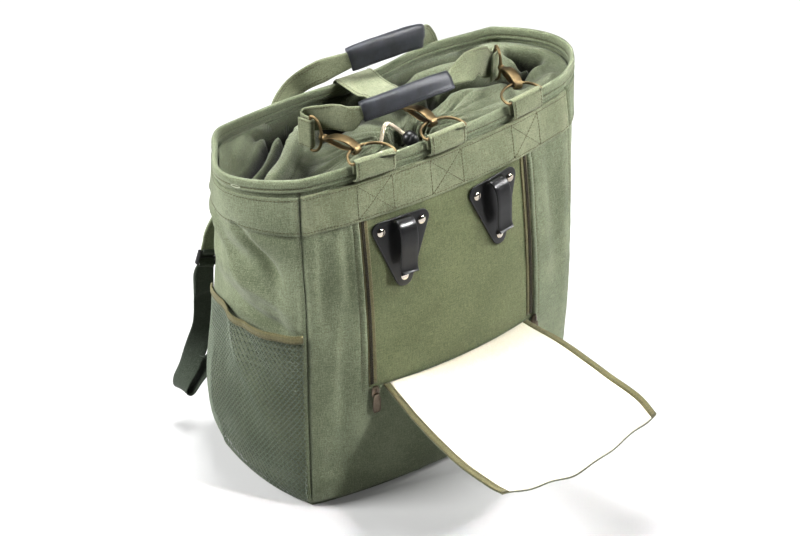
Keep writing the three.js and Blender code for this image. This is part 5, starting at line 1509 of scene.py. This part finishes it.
def pocket_point(u, v, off):
    z = POCKET_FOOT + (ease(POCKET_EDGE, u)["z"] - POCKET_FOOT) * v
    full = clamp(4 * u * (1 - u))
    slack = POCKET_SLACK * full ** 0.7 * np.minimum(1, 0.25 + v * 2)
    ripple = POCKET_RIPPLE * np.sin(26 * u) * full * v
    hug = 1 - between(v, 0.45, 0.95) * (1 - between(u, 0.25, 0.65))
    wide, tall = SIDE_WIDE[LEFT], POCKET_TALL
    folds = 0
    for u0, v0, u1, v1, width, height in zip(*POCKET_FOLDS.values()):
        line = (u0 * wide, v0 * tall, u1 * wide, v1 * tall, width)
        folds = folds + height * crease(u * wide, v * tall, *line)[0]
    stand = np.maximum(0.3 + (slack + ripple + folds * full) * hug, relief(LEFT, u, z) + 0.6)
    return body_point(LEFT, u, z, stand + off)


def make_pocket():
    span = POCKET_ENDS[1] - POCKET_ENDS[0]
    cols, rows = int(SIDE_WIDE[LEFT] * span / NET_PITCH), int(POCKET_TALL / (NET_PITCH * 0.75))
    at = np.linspace(0, 1, cols * 4 + 1)
    blocks = []
    for j in range(rows):
        v = (j + 0.5 + 0.42 * np.cos(2 * np.pi * cols * at + np.pi * (j % 2))) / rows
        blocks.append(tube(pocket_point(POCKET_ENDS[0] + span * at, v, 0.7), STRAND, 3))
    piece("pocket_net", blocks, "mesh", "pocket_mesh")

    def tape(u, rise, off):
        points = pocket_point(u, np.ones_like(u), off)
        points[..., 2] += rise
        return points

    u, rise = np.meshgrid(fill(POCKET_ENDS, 0.012), [0, 0.4, 1.2, 3, 5, 7, 8.8, 9.6, TAPE_TALL])
    edge = 1.2 * near(np.minimum(rise, TAPE_TALL - rise), 0.7)
    bound = shell(tape, u, GAP + rise, 2.4 - edge, -0.2 + edge)
    piece("pocket_tape", [bound], "binding", "pocket_binding")
    seam = sew(tape, np.linspace(*POCKET_ENDS, 120), TAPE_SEAM, 2.4)
    piece("pocket_stitching", [seam], "thread")


make_pocket()

# Shoulder straps on the back, the right one mirrored from the left; the last number sets a row on the back
MIRROR_X = -3
SHOULDER_ROWS = (
    (-52, 0, 378, 1, 0, 0.1, 20, 3, 0.6), (-57, 0, 361, 1, 0, -0.1, 20, 3, 2),
    (-69, 110, 330, 0.9, 0, -0.4, 21, 5, 0), (-94, 124, 293, 0.8, 0, -0.6, 21, 5, 0),
    (-122, 129, 258, 0.8, 0, -0.6, 19, 5, 0), (-145, 129, 239, 0.87, 0, -0.48, 14, 3, 0),
    (-154.1, 128.4, 223, 0.93, 0, -0.36, 11.5, 2.6, 0), (-157, 128, 215.6, 0.93, 0, -0.36, 11, 2.4, 0))
WEB_ROWS = (
    (-163, 128, 199.2, 0.93, 0, -0.36, 11, 2, 0), (-166, 128.6, 189.4, 0.935, 0, -0.35, 12.5, 4.4, 0),
    (-167, 129.4, 168, 0.99, 0, -0.12, 12.5, 4.4, 0), (-167.4, 130, 158, 0.99, 0, -0.12, 12.5, 1.9, 0),
    (-170, 131, 126, 0.96, -0.1, -0.25, 12.5, 1.9, 0), (-179, 132, 98, 0.8, -0.5, -0.3, 12.5, 1.9, 0),
    (-191, 132, 73, 0.45, -0.88, -0.15, 12.5, 1.9, 0), (-203, 131, 57, 0.25, -0.96, -0.05, 12.5, 1.9, 0),
    (-205, 129, 48, 0.15, -0.98, 0, 12.5, 1.9, 0), (-198, 127, 45, 0.1, -0.98, 0.1, 12.5, 1.9, 0),
    (-187, 127, 57, 0.3, -0.85, 0.3, 12.5, 1.9, 0), (-172, 124.5, 76, 0.75, -0.35, 0.5, 12.5, 1.9, 0),
    (-158, 0, 92, 0.7, 0, -0.7, 12.5, 1.9, 1.2), (-140, 0, 106, 0.6, 0, -0.8, 12.5, 1.9, 1.2))
LOCK = {"x": -159.9, "y": 128, "z": 207.6, "wide": 26.5, "tall": 16, "thick": 5.2, "wall": 3.2}
LOCK_BAR = 1.3
LOCK_RUNG = 1.2
THREADED = {"thick": 1.6, "beyond": 2, "clear": 0.4, "weave": 1.1}
LOCK_LEAN = math.atan2(0.36, 0.93)
UNDER_BAND_Z = 300


def mirror(x, way):
    return x if way > 0 else 2 * MIRROR_X - x


def shoulder_route(rows, way):
    made = []
    for x, y, z, sx, sy, sz, half, thick, sewn in rows:
        x = mirror(x, way)
        side = (way * sx, sy, sz)
        if sewn:
            y = on_back(x, z, thick / 2 + sewn + (BACK_STRAP_OFF if z > UNDER_BAND_Z else 0))[1]
            side = back_side(x, z, way * sx, sz)
        made.append((x, y, z, *side, half, thick))
    return route(made, 8)


def make_ladder_lock(name, way):
    lean = LOCK_LEAN * way
    right = vec(math.cos(lean), 0, -math.sin(lean))
    up = vec(math.sin(lean), 0, math.cos(lean))
    behind = vec(0, 1, 0)
    at = framed(vec(mirror(LOCK["x"], way), LOCK["y"], LOCK["z"]), right, up, behind)
    w, h, wall = LOCK["wide"] / 2, LOCK["tall"] / 2, LOCK["wall"]
    part = np.linspace(0, 1, 7)
    blocks = []
    for x in (-w + wall / 2, w - wall / 2):
        blocks.append(ribbon(at(x, h * (2 * part - 1), 0), -right, wall / 2, LOCK["thick"]))
    for y, half in ((LOCK_BAR - h, LOCK_BAR), (0.0, LOCK_RUNG), (h - LOCK_BAR, LOCK_BAR)):
        blocks.append(ribbon(at((w - 0.6) * (2 * part - 1), y, 0), up, half, LOCK["thick"] * 0.5))
    piece(f"shoulder_{name}_ladder", blocks, "plastic", f"shoulder_{name}_lock", sharp=50)
    reach = h + THREADED["beyond"]
    rise = np.linspace(-reach, reach, 25)
    path = at(0, rise, (LOCK["thick"] * 0.25 + THREADED["weave"]) * np.cos(np.pi * rise / h))
    threaded = ribbon(path, right, w - wall - THREADED["clear"], THREADED["thick"])
    piece(f"shoulder_{name}_threaded", [threaded], "dark_webbing")


def make_shoulder(name, way):
    path = shoulder_route(SHOULDER_ROWS, way)
    padding = ribbon(*path, pillow=0.35, across=13)
    pad = piece(f"shoulder_{name}_pad", [padding], "canvas", f"shoulder_{name}_strap")
    piece(f"shoulder_{name}_pad_stitching", edge_stitches(*path, 4), "thread")
    web = ribbon(*shoulder_route(WEB_ROWS, way))
    piece(f"shoulder_{name}_web", [web], "dark_webbing", f"shoulder_{name}_webbing")
    make_ladder_lock(name, way)


make_shoulder("left", 1)
make_shoulder("right", -1)

# Pale floor, and a white backdrop that only the camera sees, in metres
STAGE = 6.0
GLOW_REACH = (0.8, 2.6)
GLOW = (0.1, 1.0)

# Soft studio lamps: name, place, aim and size in metres, power in watts, spread in degrees
LAMPS = (
    ("overhead", (0.3, 0.4, 2.1), (0, 0, 0.12), 0.6, 50.0, 180),
    ("right", (1.6, -0.9, 1.5), (0, 0, 0.2), 0.7, 50.0, 180),
    ("left", (-1.7, 0.6, 1.5), (0, 0, 0.2), 0.7, 88.0, 180),
    ("front", (0.9, -1.5, 1.75), (0.03, -0.1, 0.17), 0.66, 1.5, 8),
)
WHITE = (1, 1, 1, 1)
WORLD_LIGHT = 0.03
GAMMA = 0.85


def stage_sheet(name, verts, faces, paint):
    mesh = bpy.data.meshes.new(name)
    mesh.from_pydata(verts, [], faces)
    mesh.materials.append(paint.material)
    return add(name, mesh)


def make_stage():
    paint = Paint("floor", {"Roughness": 0.7, "Specular IOR Level": 0.1, "Emission Color": WHITE})
    paint.tint(paint.noise(3.0), (0.3, 0.47), (0.7, 0.49))
    away = paint.node("VectorMath", "Value", {0: paint.place["Object"]}, operation="LENGTH")
    paint.feed(paint.shader, {"Emission Strength": paint.climb(away, *GLOW_REACH, *GLOW)})
    square = [(x * STAGE, y * STAGE, 0) for x, y in ((-1, -1), (1, -1), (1, 1), (-1, 1))]
    floor = stage_sheet("floor", square, [(0, 1, 2, 3)], paint)
    paint = Paint("backdrop", {"Roughness": 0.9, "Emission Color": WHITE, "Emission Strength": 1.0})
    paint.tint(paint.noise(0.5), (0.3, 0.9), (0.7, 0.92))
    turn = circle(96)
    wall = [(STAGE * math.cos(a), STAGE * math.sin(a), z) for z in (-0.01, STAGE) for a in turn]
    faces = cells(2, len(turn), closed_cols=True).reshape(-1, 4).tolist()
    backdrop = stage_sheet("backdrop", wall, faces, paint)
    for ray in ("diffuse", "glossy", "shadow"):
        setattr(backdrop, f"visible_{ray}", False)


def make_lights():
    scene = bpy.context.scene
    scene.view_settings.view_transform = "Standard"
    scene.view_settings.gamma = GAMMA
    scene.world = bpy.data.worlds.new("studio")
    scene.world.use_nodes = True
    background = scene.world.node_tree.nodes["Background"]
    background.inputs["Color"].default_value = WHITE
    background.inputs["Strength"].default_value = WORLD_LIGHT
    for name, place, aim, size, power, spread in LAMPS:
        light = bpy.data.lights.new(name, "AREA")
        light.size = size
        light.energy = power
        light.spread = math.radians(spread)
        lamp = add(name, light)
        lamp.location = place
        look_along(lamp, Vector(aim) - Vector(place))


make_stage()
make_lights()
